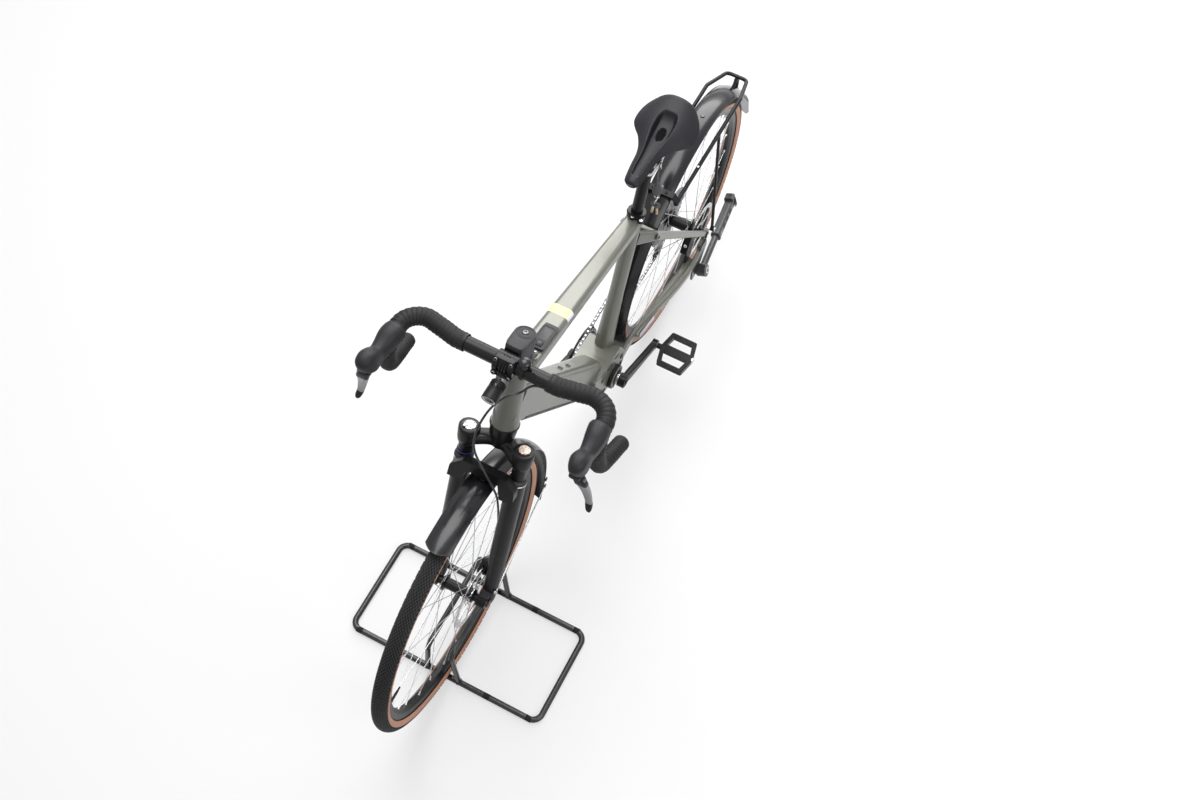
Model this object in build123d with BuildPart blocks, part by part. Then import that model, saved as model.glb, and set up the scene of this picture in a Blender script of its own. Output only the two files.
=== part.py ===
from build123d import *

import os
from math import asin, atan2, cos, degrees, floor, hypot, pi, radians, sin, sqrt

# An electric gravel bicycle with mudguards, carrier and kickstand, its front wheel in a low
# display stand. +X is forward, +Y is the rider's left, +Z is up, and Z 0 is the floor.
# Lengths are in millimetres, and X is stated ahead of the rear axle.

# ------------------------------------------------------------------ driving dimensions
wheelbase = 1130.0
tyre_radius = 352.0
tyre_section = 20.0
rim_radius = 318.0
rim_depth = 22.0
rim_half_width = 12.5
head_angle = 68.6
fork_offset = 54.0
running_gap = 0.3
seat_gap = 0.3

bottom_bracket_x = 446.0
bottom_bracket_z = 284.0
seat_angle = 73.0
seat_top_z = 772.0
crank_length = 172.5
crank_drop_angle = 19.6

head_bottom = 487.0
head_length = 168.0
steerer_radius = 14.3
leg_spacing = 127.0
leg_out = 26.0
stanchion_radius = 16.0
lower_radius = 20.5
lower_top = 380.0
crown_bottom = 424.0
crown_height = 30.0
front_hub_width = 100.0
rear_hub_width = 148.0
axle_radius = 6.0
disc_radius = 80.0
disc_side = 37.0
rear_disc_side = 58.0
disc_thickness = 1.8
spoke_count = 28
spoke_radius = 0.9

stem_height = 44.0
bar_up = 704.8
bar_out = 66.0
bar_radius = 15.9
tape_radius = 19.0
tape_start = 90.0
tape_square = 112.0
bar_half_width = 222.0
bar_sweep = 22.0
bar_reach = 76.0
bar_drop = 112.0
bar_flare = 23.0
bar_bend = 44.0

guard_edge_radius = 360.0
guard_half_width = 30.0
guard_crown = 9.0
guard_thickness = 1.6
stay_radius = 1.8

chain_pitch = 12.7
chainring_teeth = 42
chain_side = 48.0
roller_radius = 3.85
cassette_teeth = (11, 13, 15, 17, 19, 21, 24, 28, 32, 37, 42)
cassette_pitch = 3.9
chain_gap_half = 1.6
chain_plate = 1.1
roller_tip = 2.6
running_cog = 4
pulley_teeth = 12

carrier_height = 672.0
carrier_half_width = 45.0
carrier_radius = 5.0
stand_tube_radius = 7.5
stand_length = 248.0
stand_half_width = 259.0

# ------------------------------------------------------------------ shared places
guard_radius = guard_edge_radius + guard_crown
rear_x = (guard_radius - wheelbase - tyre_radius) / 2


def at(x, y, z):
    """Point x ahead of the rear axle, y to the left and z above the floor."""
    return Vector(rear_x + x, y, z)


steer_up = Vector(-cos(radians(head_angle)), 0, sin(radians(head_angle)))
steer_out = Vector(sin(radians(head_angle)), 0, cos(radians(head_angle)))
front_axle_at = at(wheelbase, 0, tyre_radius)
steer_foot = front_axle_at - steer_out * fork_offset
rear_axle_at = at(0, 0, tyre_radius)
bottom_bracket_at = at(bottom_bracket_x, 0, bottom_bracket_z)


def steer(up, out=0, side=0):
    """Point up the steering axis, out ahead of it and to its left."""
    return steer_foot + steer_up * up + steer_out * out + Vector(0, side, 0)


def steer_plane(up, out=0, side=0):
    """Plane square to the steering axis: local x is forward, local y is left."""
    return Plane(origin=steer(up, out, side), x_dir=steer_out, z_dir=steer_up)


def side_plane(y):
    """Upright plane along the bicycle: local x is forward, local y is up, normal to the right."""
    return Plane(origin=(rear_x, y, 0), x_dir=(1, 0, 0), z_dir=(0, -1, 0))


def axle_plane(centre):
    """Plane through a wheel's axle: local x is across the wheel, local y is its radius."""
    return Plane(origin=centre, x_dir=(0, 1, 0), z_dir=(1, 0, 0))


def axle_axis(centre):
    """Axis of a wheel or crank, pointing to the left."""
    return Axis(centre, (0, 1, 0))


def rod(points, radius, bend=0.0, closed=False):
    """Round bar along straight runs joined by arcs."""
    with BuildPart() as bar:
        with BuildLine() as path:
            if bend > 0:
                FilletPolyline(*points, radius=bend, close=closed)
            else:
                Polyline(*points)
        start = path.wires()[0] ^ 0
        with BuildSketch(Plane(start)):
            Circle(radius)
        sweep(path=path.wires()[0], transition=Transition.ROUND if bend == 0 else Transition.TRANSFORMED)
    return bar.part


def pin(start, end, radius):
    """Straight round bar between two points."""
    run = Vector(end) - Vector(start)
    with BuildPart() as bar:
        with BuildSketch(Plane(origin=start, z_dir=run.normalized())):
            Circle(radius)
        extrude(amount=run.length)
    return bar.part


def save(part, name):
    """Label a finished piece and write its STEP file."""
    part.label = name
    export_step(part, f"parts/{name}.step")


os.makedirs("parts", exist_ok=True)

# ------------------------------------------------------------------ wheels
front_hub_outline = (
    (-50, 10), (-41, 10), (-39, 15), (-36, 15), (-36, 21), (-32, 21), (-30, 13), (19, 13),
    (21, 21), (25, 21), (26, 16), (40, 16), (42, 10), (50, 10),
)
rear_hub_outline = (
    (-74, 9), (-66, 9), (-65, 15), (-21, 15), (-20, 23), (-16, 23), (-14, 16), (32, 16),
    (34, 24), (38, 24), (40, 18), (61, 18), (64, 10), (74, 10),
)

for wheel, centre, hub_outline, brake_side in (
    ("front", front_axle_at, front_hub_outline, disc_side),
    ("rear", rear_axle_at, rear_hub_outline, rear_disc_side),
):
    section = axle_plane(centre)
    axis = axle_axis(centre)

    with BuildPart() as tyre:
        with BuildSketch(section):
            with Locations((0, tyre_radius - tyre_section)):
                Circle(tyre_section)
            with Locations((0, rim_radius + seat_gap)):
                Rectangle(60, 40, align=(Align.CENTER, Align.MAX), mode=Mode.SUBTRACT)
        revolve(axis=axis)
    save(tyre.part, f"{wheel}_tyre")

    with BuildPart() as rim:
        with BuildSketch(section):
            with BuildLine():
                Polyline(
                    (-rim_half_width, rim_radius),
                    (-rim_half_width, rim_radius - 7),
                    (-rim_half_width + 2, rim_radius - 14),
                    (-5, rim_radius - rim_depth),
                    (5, rim_radius - rim_depth),
                    (rim_half_width - 2, rim_radius - 14),
                    (rim_half_width, rim_radius - 7),
                    (rim_half_width, rim_radius),
                    close=True,
                )
            make_face()
        revolve(axis=axis)
    save(rim.part, f"{wheel}_rim")

    with BuildPart() as hub:
        with BuildSketch(section):
            with BuildLine():
                Polyline(
                    (hub_outline[0][0], axle_radius + running_gap),
                    *hub_outline,
                    (hub_outline[-1][0], axle_radius + running_gap),
                    close=True,
                )
            make_face()
        revolve(axis=axis)
    save(hub.part, f"{wheel}_hub")

    flanges = [
        (hub_outline[i][0] + hub_outline[i + 1][0]) / 2
        for i in range(len(hub_outline) - 1)
        if hub_outline[i][1] == hub_outline[i + 1][1] > 20
    ]
    flange_radius = max(r for _, r in hub_outline)
    with BuildPart() as spokes:
        for flange, side in zip(flanges, (-1, 1)):
            for i in range(spoke_count // 2):
                lead = 1 if i % 2 else -1
                turn = 360 / (spoke_count // 2) * (i + 0.25 * side)
                hub_turn = radians(turn)
                rim_turn = radians(turn + 52 * lead)
                start = centre + Vector(
                    (flange_radius + spoke_radius + seat_gap) * cos(hub_turn),
                    flange + 1.5 * lead,
                    (flange_radius + spoke_radius + seat_gap) * sin(hub_turn),
                )
                reach = rim_radius - rim_depth - seat_gap
                end = centre + Vector(reach * cos(rim_turn), 1.5 * side, reach * sin(rim_turn))
                add(pin(start, end, spoke_radius))
    save(spokes.part, f"{wheel}_spokes")

    hub_bore = max(r for y, r in hub_outline if y > brake_side - 8 and r < 20)
    with BuildPart() as disc:
        with BuildSketch(side_plane(brake_side + disc_thickness / 2)):
            with Locations((centre.X - rear_x, centre.Z)):
                Circle(disc_radius)
                Circle(disc_radius - 13, mode=Mode.SUBTRACT)
                Circle(hub_bore + 9)
                Circle(hub_bore + seat_gap, mode=Mode.SUBTRACT)
            with Locations((centre.X - rear_x, centre.Z)):
                with PolarLocations((disc_radius - 13 + hub_bore + 9) / 2, 6):
                    Rectangle(disc_radius - 13 - hub_bore - 9 + 4, 7)
                with PolarLocations(disc_radius - 6.5, 24):
                    Circle(2.4, mode=Mode.SUBTRACT)
        extrude(amount=disc_thickness)
    save(disc.part, f"{wheel}_brake_disc")

with BuildPart() as front_axle:
    with BuildSketch(Plane(origin=front_axle_at + Vector(0, -76, 0), z_dir=(0, 1, 0))):
        Circle(axle_radius)
    extrude(amount=152)
save(front_axle.part, "front_axle")

with BuildPart() as rear_axle:
    with BuildSketch(Plane(origin=rear_axle_at + Vector(0, -86, 0), z_dir=(0, 1, 0))):
        Circle(axle_radius)
    extrude(amount=172)
save(rear_axle.part, "rear_axle")

# ------------------------------------------------------------------ cassette and chainring


def pitch_radius(teeth):
    """Radius at which the chain's pins run round a sprocket."""
    return chain_pitch / (2 * sin(pi / teeth))


def sprocket(centre, teeth, y, thickness, bore):
    """Toothed disc whose roller seats are cut on the chain's pitch circle."""
    with BuildPart() as disc:
        with BuildSketch(Plane(origin=(centre.X, y + thickness / 2, centre.Z), x_dir=(1, 0, 0), z_dir=(0, -1, 0))):
            Circle(pitch_radius(teeth) + roller_tip)
            with PolarLocations(pitch_radius(teeth), teeth):
                Circle(roller_radius + 0.35, mode=Mode.SUBTRACT)
            Circle(bore, mode=Mode.SUBTRACT)
        extrude(amount=thickness)
    return disc.part


cog_y = [-chain_side - (running_cog - i) * cassette_pitch for i in range(len(cassette_teeth))]
with BuildPart() as cassette:
    with BuildSketch(Plane(origin=(rear_axle_at.X, cog_y[-1] + 1.2, rear_axle_at.Z), z_dir=(0, -1, 0))):
        Circle(19)
        Circle(15 + seat_gap, mode=Mode.SUBTRACT)
    extrude(amount=cog_y[-1] - cog_y[0] + 2.4)
    for teeth, y in zip(cassette_teeth, cog_y):
        add(sprocket(rear_axle_at, teeth, y, 1.7, 15 + seat_gap))
save(cassette.part, "cassette")

ring_radius = pitch_radius(chainring_teeth)
with BuildPart() as chainring:
    add(sprocket(bottom_bracket_at, chainring_teeth, -chain_side, 2.0, ring_radius - 11))
    with BuildSketch(side_plane(-chain_side + 1.0)):
        with Locations((bottom_bracket_x, bottom_bracket_z)):
            Circle(26)
            Circle(13 + seat_gap, mode=Mode.SUBTRACT)
            with PolarLocations(48, 4, start_angle=45):
                Rectangle(56, 13)
    extrude(amount=2.0)
save(chainring.part, "chainring")

with BuildPart() as chain_guard:
    with BuildSketch(side_plane(-chain_side - 7)):
        with Locations((bottom_bracket_x, bottom_bracket_z)):
            Circle(ring_radius + 7)
            Circle(ring_radius - 9, mode=Mode.SUBTRACT)
            Circle(26)
            with PolarLocations(50, 4, start_angle=45):
                Rectangle(62, 10)
            Circle(13 + seat_gap, mode=Mode.SUBTRACT)
    extrude(amount=2.0)
    with BuildSketch(side_plane(-chain_side - 1.3)):
        with Locations((bottom_bracket_x, bottom_bracket_z)):
            with PolarLocations(52, 4, start_angle=45):
                Circle(4.5)
    extrude(amount=6)
save(chain_guard.part, "chain_guard")

# ------------------------------------------------------------------ cranks and pedals
spindle_radius = 12.0
crank_root_y = 71.0
crank_waist_y = 79.0
crank_tip_y = 84.0
motor_boss_y = 53.0
pedal_near = 101.5
pedal_far = 192.5
pedal_length = 98.0
pedal_height = 16.0
pedal_shoulder = 11.0
pedal_bar = 10.0

with BuildPart() as crank_spindle:
    with BuildSketch(Plane(origin=bottom_bracket_at + Vector(0, -crank_root_y - 7, 0), z_dir=(0, 1, 0))):
        Circle(spindle_radius)
    extrude(amount=2 * crank_root_y + 14)
save(crank_spindle.part, "crank_spindle")

crank_back = Vector(-cos(radians(crank_drop_angle)), 0, -sin(radians(crank_drop_angle)))
for name, side in (("left", 1), ("right", -1)):
    eye = bottom_bracket_at + crank_back * (crank_length * side)
    along = crank_back * side
    root = bottom_bracket_at + Vector(0, side * crank_root_y, 0)
    tip = eye + Vector(0, side * crank_tip_y, 0)
    waist = bottom_bracket_at + crank_back * (crank_length * side * 0.48) + Vector(0, side * crank_waist_y, 0)
    with BuildPart() as arm:
        with BuildSketch(Plane(origin=root + along * 4, x_dir=Vector(0, 1, 0), z_dir=along)):
            RectangleRounded(15, 29, 5)
        with BuildSketch(Plane(origin=waist, x_dir=Vector(0, 1, 0), z_dir=along)):
            RectangleRounded(13, 23, 5)
        with BuildSketch(Plane(origin=tip - along * 4, x_dir=Vector(0, 1, 0), z_dir=along)):
            RectangleRounded(12, 20, 4)
        loft()
        with BuildSketch(Plane(origin=root - Vector(0, 9, 0), z_dir=(0, 1, 0))):
            Circle(18)
        extrude(amount=18)
        with BuildSketch(Plane(origin=tip - Vector(0, 7, 0), z_dir=(0, 1, 0))):
            Circle(13)
        extrude(amount=14)
        with BuildSketch(Plane(origin=root - Vector(0, 20, 0), z_dir=(0, 1, 0))):
            Circle(spindle_radius + seat_gap)
        extrude(amount=40, mode=Mode.SUBTRACT)
    save(arm.part, f"crank_arm_{name}")

    pedal_half = pedal_length / 2
    window_half = pedal_half - pedal_bar
    pedal_plane = Plane(origin=eye + Vector(0, 0, -side * pedal_height / 2), x_dir=(1, 0, 0), z_dir=(0, 0, side))
    with BuildPart() as pedal:
        with BuildSketch(pedal_plane):
            with BuildLine():
                Polyline(
                    (-pedal_half, pedal_near + pedal_shoulder),
                    (0, pedal_near),
                    (pedal_half, pedal_near + pedal_shoulder),
                    (pedal_half, pedal_far - pedal_shoulder),
                    (0, pedal_far),
                    (-pedal_half, pedal_far - pedal_shoulder),
                    close=True,
                )
            make_face()
            fillet(vertices(), 5)
            for way in (1, -1):
                with BuildLine():
                    Polyline(
                        (way * pedal_bar, pedal_near + pedal_bar + 3),
                        (way * window_half, pedal_near + pedal_shoulder + pedal_bar),
                        (way * window_half, pedal_far - pedal_shoulder - pedal_bar),
                        (way * pedal_bar, pedal_far - pedal_bar - 3),
                        close=True,
                    )
                make_face(mode=Mode.SUBTRACT)
        extrude(amount=pedal_height)
        inner = eye + Vector(0, side * (crank_tip_y + 7.5), 0)
        outer = eye + Vector(0, side * (pedal_far - 4), 0)
        add(pin(inner, outer, 7.5))
    save(pedal.part, f"pedal_{name}")

# ------------------------------------------------------------------ frame
head_top = head_bottom + head_length
seat_dir = Vector(-cos(radians(seat_angle)), 0, sin(radians(seat_angle)))
seat_tube_length = (seat_top_z - bottom_bracket_z) / sin(radians(seat_angle))
seat_top = bottom_bracket_at + seat_dir * seat_tube_length
seatpost_radius = 13.6
seat_tube_radius = 17.5
seat_tube_round = 270.0
motor_width = 72.0
bracket_width = 84.0
down_tube_width = 62.0
boss_spacing = 64.0
boss_face = 51.0
boss_depth = 14.0
boss_hole = 2.5
crown_room_radius = 36.0
crown_room_height = 40.0

with BuildPart() as motor:
    with BuildSketch(side_plane(motor_width / 2)):
        with BuildLine():
            Polyline(
                (bottom_bracket_x - 40, bottom_bracket_z - 30),
                (bottom_bracket_x + 95, bottom_bracket_z - 46),
                (bottom_bracket_x + 132, bottom_bracket_z + 10),
                (bottom_bracket_x + 70, bottom_bracket_z + 82),
                (bottom_bracket_x - 10, bottom_bracket_z + 60),
                (bottom_bracket_x - 44, bottom_bracket_z + 20),
                close=True,
            )
        make_face()
        fillet(vertices(), 16)
    extrude(amount=motor_width)
    with BuildSketch(side_plane(motor_boss_y)):
        with Locations((bottom_bracket_x, bottom_bracket_z)):
            Circle(32)
    extrude(amount=motor_boss_y + motor_width / 2 - 1)
    with BuildSketch(side_plane(crank_root_y)):
        with Locations((bottom_bracket_x, bottom_bracket_z)):
            Circle(spindle_radius + running_gap)
    extrude(amount=2 * crank_root_y, mode=Mode.SUBTRACT)
save(motor.part, "motor")

down_start = steer(head_bottom + 62, 0)
down_end = at(bottom_bracket_x + 78, 0, bottom_bracket_z + 84)
down_dir = (down_end - down_start).normalized()
down_up = Vector(down_dir.Z, 0, -down_dir.X)
boss_centre = down_start + down_dir * 345
top_start = steer(head_top - 26, -8)
top_end = seat_top - seat_dir * 24

with BuildPart() as main_frame:
    with BuildSketch(steer_plane(head_bottom)):
        Circle(31)
    with BuildSketch(steer_plane(head_bottom + head_length * 0.5)):
        Circle(25)
    with BuildSketch(steer_plane(head_top)):
        Circle(28)
    loft()
    with BuildSketch(Plane(origin=down_start, x_dir=(0, 1, 0), z_dir=down_end - down_start)):
        RectangleRounded(50, 90, 15)
    with BuildSketch(Plane(origin=down_end, x_dir=(0, 1, 0), z_dir=down_end - down_start)):
        RectangleRounded(down_tube_width, 98, 15)
    loft()
    with BuildSketch(Plane(origin=top_start, x_dir=(0, 1, 0), z_dir=top_end - top_start)):
        RectangleRounded(56, 42, 11)
    with BuildSketch(Plane(origin=top_end, x_dir=(0, 1, 0), z_dir=top_end - top_start)):
        RectangleRounded(40, 36, 11)
    loft()
    with BuildSketch(Plane(origin=bottom_bracket_at + seat_dir * 60, x_dir=(0, 1, 0), z_dir=seat_dir)):
        Ellipse(seat_tube_radius + 6, seat_tube_radius + 8)
    with BuildSketch(Plane(origin=bottom_bracket_at + seat_dir * seat_tube_round, x_dir=(0, 1, 0), z_dir=seat_dir)):
        Circle(seat_tube_radius)
    loft()
    with BuildSketch(Plane(origin=bottom_bracket_at + seat_dir * seat_tube_round, z_dir=seat_dir)):
        Circle(seat_tube_radius)
    extrude(amount=seat_tube_length - seat_tube_round)
    with BuildSketch(side_plane(bracket_width / 2)):
        with BuildLine():
            Polyline(
                (bottom_bracket_x - 62, bottom_bracket_z - 20),
                (bottom_bracket_x - 62, bottom_bracket_z + 36),
                (bottom_bracket_x - 34, bottom_bracket_z + 92),
                (bottom_bracket_x + 20, bottom_bracket_z + 100),
                (bottom_bracket_x + 100, bottom_bracket_z + 118),
                (bottom_bracket_x + 128, bottom_bracket_z + 60),
                (bottom_bracket_x + 76, bottom_bracket_z + 2),
                (bottom_bracket_x + 30, bottom_bracket_z - 27),
                (bottom_bracket_x - 40, bottom_bracket_z - 27),
                close=True,
            )
        make_face()
        fillet(vertices(), 8)
    extrude(amount=bracket_width)
    with BuildSketch(side_plane(motor_width / 2 + seat_gap)):
        with BuildLine():
            Polyline(
                (bottom_bracket_x - 40, bottom_bracket_z - 30),
                (bottom_bracket_x + 95, bottom_bracket_z - 46),
                (bottom_bracket_x + 132, bottom_bracket_z + 10),
                (bottom_bracket_x + 70, bottom_bracket_z + 82),
                (bottom_bracket_x - 10, bottom_bracket_z + 60),
                (bottom_bracket_x - 44, bottom_bracket_z + 20),
                close=True,
            )
        make_face()
        fillet(vertices(), 16)
        offset(amount=seat_gap)
    extrude(amount=motor_width + 2 * seat_gap, mode=Mode.SUBTRACT)
    with BuildSketch(side_plane(crank_root_y)):
        with Locations((bottom_bracket_x, bottom_bracket_z)):
            Circle(32 + seat_gap)
    extrude(amount=2 * crank_root_y, mode=Mode.SUBTRACT)
    for along in (-boss_spacing / 2, boss_spacing / 2):
        boss = boss_centre + down_dir * along
        add(pin(boss + down_up * 40, boss + down_up * boss_face, 6))
        add(pin(boss + down_up * (boss_face - boss_depth), boss + down_up * (boss_face + 1), boss_hole), mode=Mode.SUBTRACT)
    with BuildSketch(steer_plane(head_bottom - crown_room_height)):
        Circle(crown_room_radius)
    extrude(amount=crown_room_height, mode=Mode.SUBTRACT)
    with BuildSketch(steer_plane(head_bottom - 20)):
        Circle(steerer_radius + running_gap)
    extrude(amount=head_length + 40, mode=Mode.SUBTRACT)
    with BuildSketch(Plane(origin=seat_top + seat_dir, z_dir=seat_dir * -1)):
        Circle(seatpost_radius + seat_gap)
    extrude(amount=120, mode=Mode.SUBTRACT)
save(main_frame.part, "main_frame")

# ------------------------------------------------------------------ rear stays
dropout_inner = rear_hub_width / 2 + seat_gap
dropout_outer = dropout_inner + 8
chain_stay_y = guard_half_width + 6.9
seat_stay_y = guard_half_width + 6.5

with BuildPart() as chain_stays:
    for side in (1, -1):
        front = at(bottom_bracket_x - 56, side * chain_stay_y, bottom_bracket_z + 8)
        beside = at(guard_radius - 30, side * chain_stay_y, bottom_bracket_z + 10)
        middle = at(240, side * 55, 304)
        rear = at(24, side * (dropout_inner + 5), tyre_radius - 22)
        with BuildSketch(Plane(origin=front, x_dir=(0, 1, 0), z_dir=(-1, 0, 0))):
            RectangleRounded(12, 42, 5)
        with BuildSketch(Plane(origin=beside, x_dir=(0, 1, 0), z_dir=(-1, 0, 0))):
            RectangleRounded(12, 38, 5)
        with BuildSketch(Plane(origin=middle, x_dir=(0, 1, 0), z_dir=rear - beside)):
            RectangleRounded(14, 31, 5)
        with BuildSketch(Plane(origin=rear, x_dir=(0, 1, 0), z_dir=rear - middle)):
            RectangleRounded(10, 26, 4.5)
        loft()
        with BuildSketch(side_plane(side * dropout_inner if side < 0 else dropout_outer)):
            with Locations((0, tyre_radius)):
                Circle(17)
            with Locations((18, tyre_radius - 13)):
                Rectangle(40, 30)
        extrude(amount=dropout_outer - dropout_inner)
        if side < 0:
            with BuildSketch(side_plane(side * dropout_inner)):
                with Locations((4, tyre_radius - 26)):
                    RectangleRounded(22, 40, 8)
            extrude(amount=dropout_outer - dropout_inner)
        with BuildSketch(side_plane(90)):
            with Locations((0, tyre_radius)):
                Circle(axle_radius + seat_gap)
        extrude(amount=180, mode=Mode.SUBTRACT)
    with BuildSketch(side_plane(39)):
        with Locations((guard_radius - 1.5, bottom_bracket_z + 8)):
            Rectangle(bottom_bracket_x - 60 - guard_radius + 1.5, 40, align=(Align.MIN, Align.CENTER))
    extrude(amount=78)
    add(main_frame.part, mode=Mode.SUBTRACT)
    add(motor.part, mode=Mode.SUBTRACT)
save(chain_stays.part, "chain_stays")

with BuildPart() as seat_stays:
    for side in (1, -1):
        front = at(312, side * 11, 696)
        bend = at(262, side * seat_stay_y, 660)
        rear = at(6, side * (dropout_inner + 4.6), tyre_radius + 12)
        with BuildSketch(Plane(origin=front, x_dir=(0, 1, 0), z_dir=bend - front)):
            RectangleRounded(17, 34, 6)
        with BuildSketch(Plane(origin=bend, x_dir=(0, 1, 0), z_dir=bend - front)):
            RectangleRounded(16, 25, 6)
        loft()
        with BuildSketch(Plane(origin=bend, x_dir=(0, 1, 0), z_dir=rear - bend)):
            RectangleRounded(15, 22, 6)
        with BuildSketch(Plane(origin=rear, x_dir=(0, 1, 0), z_dir=rear - bend)):
            RectangleRounded(6.2, 16, 3)
        loft()
        add(pin(bend - Vector(0, side * 2, 0), bend + Vector(0, side * 2, 0), 10.5))
    add(pin(at(256, -seat_stay_y, 658), at(256, seat_stay_y, 658), 9))
    add(pin(bottom_bracket_at, seat_top, seat_tube_radius + 0.05), mode=Mode.SUBTRACT)
    add(chain_stays.part, mode=Mode.SUBTRACT)
save(seat_stays.part, "seat_stays")

# ------------------------------------------------------------------ seat
with BuildPart() as seat_collar:
    with BuildSketch(Plane(origin=seat_top - seat_dir * 14, z_dir=seat_dir)):
        Circle(seat_tube_radius + 3.5)
        Circle(seat_tube_radius + seat_gap, mode=Mode.SUBTRACT)
    extrude(amount=14)
    with BuildSketch(Plane(origin=seat_top + seat_dir * seat_gap, z_dir=seat_dir)):
        Circle(seat_tube_radius + 3.5)
        Circle(seatpost_radius + seat_gap, mode=Mode.SUBTRACT)
    extrude(amount=6)
    add(main_frame.part, mode=Mode.SUBTRACT)
save(seat_collar.part, "seat_collar")

rail_z = 921.0
rail_mid_x = 252.0
saddle_nose_x = 358.0
saddle_tail_x = 113.0
post_top_length = (rail_z - 24 - bottom_bracket_z) / sin(radians(seat_angle))
post_head = bottom_bracket_at + seat_dir * post_top_length
rail_radius = 3.5


def rail_points(side):
    """Centre line of one saddle rail, from the nose to the tail."""
    return (
        at(saddle_nose_x - 50, side * 9, rail_z + 22),
        at(rail_mid_x + 45, side * 22, rail_z),
        at(rail_mid_x - 45, side * 22, rail_z),
        at(saddle_tail_x + 40, side * 34, rail_z + 30),
    )


with BuildPart() as seatpost:
    with BuildSketch(Plane(origin=seat_top - seat_dir * 100, z_dir=seat_dir)):
        Circle(seatpost_radius)
    extrude(amount=post_top_length - seat_tube_length + 100)
    with BuildSketch(side_plane(17)):
        with BuildLine():
            Polyline(
                (post_head.X - rear_x - 22, rail_z - 4),
                (post_head.X - rear_x + 26, rail_z - 4),
                (post_head.X - rear_x + 16, rail_z - 38),
                (post_head.X - rear_x - 12, rail_z - 38),
                close=True,
            )
        make_face()
        fillet(vertices(), 4)
    extrude(amount=34)
    cradle_x = post_head.X - rear_x
    add(pin(at(cradle_x, -29, rail_z - 3), at(cradle_x, 29, rail_z - 3), 8))
    for side in (1, -1):
        add(rod(rail_points(side), rail_radius + seat_gap, 20), mode=Mode.SUBTRACT)
save(seatpost.part, "seatpost")

with BuildPart() as saddle_rails:
    for side in (1, -1):
        add(rod(rail_points(side), rail_radius, 20))
save(saddle_rails.part, "saddle_rails")

saddle_stations = (
    (saddle_nose_x, 945, 12, 7, 8),
    (saddle_nose_x - 12, 950, 18, 12, 18),
    (saddle_nose_x - 50, 956, 23, 15, 26),
    (saddle_nose_x - 95, 959, 27, 16, 28),
    (saddle_nose_x - 130, 963, 46, 22, 30),
    (saddle_nose_x - 165, 968, 68, 31, 32),
    (saddle_nose_x - 195, 972, 71, 33, 32),
    (saddle_nose_x - 222, 976, 58, 26, 28),
    (saddle_tail_x, 977, 32, 14, 14),
)
with BuildPart() as saddle:
    for x, crown_z, half, droop, depth in saddle_stations:
        with BuildSketch(Plane(origin=at(x, 0, 0), x_dir=(0, 1, 0), z_dir=(1, 0, 0))):
            with BuildLine():
                ThreePointArc((-half, crown_z - droop), (0, crown_z), (half, crown_z - droop))
                Line((half, crown_z - droop), (half - 3, crown_z - droop - 5))
                ThreePointArc(
                    (half - 3, crown_z - droop - 5),
                    (0, crown_z - max(depth, droop * 0.5 + 8)),
                    (-half + 3, crown_z - droop - 5),
                )
                Line((-half + 3, crown_z - droop - 5), (-half, crown_z - droop))
            make_face()
    loft()
    channel_plane = Plane(origin=at(saddle_nose_x, 0, 942), x_dir=(-1, 0, 0.12), z_dir=(0.12, 0, 1))
    with BuildSketch(channel_plane):
        with BuildLine():
            Polyline(
                (30, 2.5), (88, 6), (128, 17), (156, 21), (188, 16), (204, 6),
                (204, -6), (188, -16), (156, -21), (128, -17), (88, -6), (30, -2.5), close=True,
            )
        make_face()
        fillet(vertices(), 2)
    extrude(amount=40, mode=Mode.SUBTRACT)
    for side in (1, -1):
        add(rod(rail_points(side), rail_radius + seat_gap, 20), mode=Mode.SUBTRACT)
save(saddle.part, "saddle")

# ------------------------------------------------------------------ fork
with BuildPart() as fork_crown:
    with BuildSketch(steer_plane(crown_bottom)):
        with Locations((leg_out, leg_spacing / 2), (leg_out, -leg_spacing / 2)):
            Circle(stanchion_radius + 4)
    extrude(amount=crown_height)
    for side in (1, -1):
        for place, reach, up, across, tall in (
            ("hub", 3, crown_bottom + 20, 34, 26),
            ("arm", 15, crown_bottom + 19, 26, 24),
            ("cup", leg_out - 1, crown_bottom + 17, 24, 24),
        ):
            out_y = {"hub": 8, "arm": leg_spacing * 0.31, "cup": leg_spacing / 2 - 6}[place]
            with BuildSketch(
                Plane(origin=steer(up, reach, side * out_y), x_dir=steer_out, z_dir=(0, side, 0))
            ):
                RectangleRounded(across, tall, 8)
        loft()
    with BuildSketch(steer_plane(crown_bottom + 4)):
        Circle(20)
    with BuildSketch(steer_plane(crown_bottom + 22)):
        Circle(25)
    with BuildSketch(steer_plane(head_bottom - running_gap - 3)):
        Circle(30)
    loft()
    with BuildSketch(steer_plane(head_bottom - running_gap - 3)):
        Circle(30)
    extrude(amount=3)
    with BuildSketch(steer_plane(crown_bottom + crown_height)):
        Circle(steerer_radius)
    extrude(amount=bar_up + stem_height / 2 - crown_bottom - crown_height)
    with BuildSketch(steer_plane(crown_bottom + crown_height)):
        with Locations((leg_out, leg_spacing / 2), (leg_out, -leg_spacing / 2)):
            Circle(15.5)
    extrude(amount=9)
save(fork_crown.part, "fork_crown")

with BuildPart() as stanchions:
    with BuildSketch(steer_plane(lower_top - 60)):
        with Locations((leg_out, leg_spacing / 2), (leg_out, -leg_spacing / 2)):
            Circle(stanchion_radius)
    extrude(amount=crown_bottom - lower_top + 60)
save(stanchions.part, "fork_stanchions")

caliper_seat_y = 43.2
arch_window = lower_top - 4


def stay_eye(side, y):
    """Point on the eyelet that holds the front mudguard's stay, y from the middle."""
    return front_axle_at + Vector(-24, side * y, 22)


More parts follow.
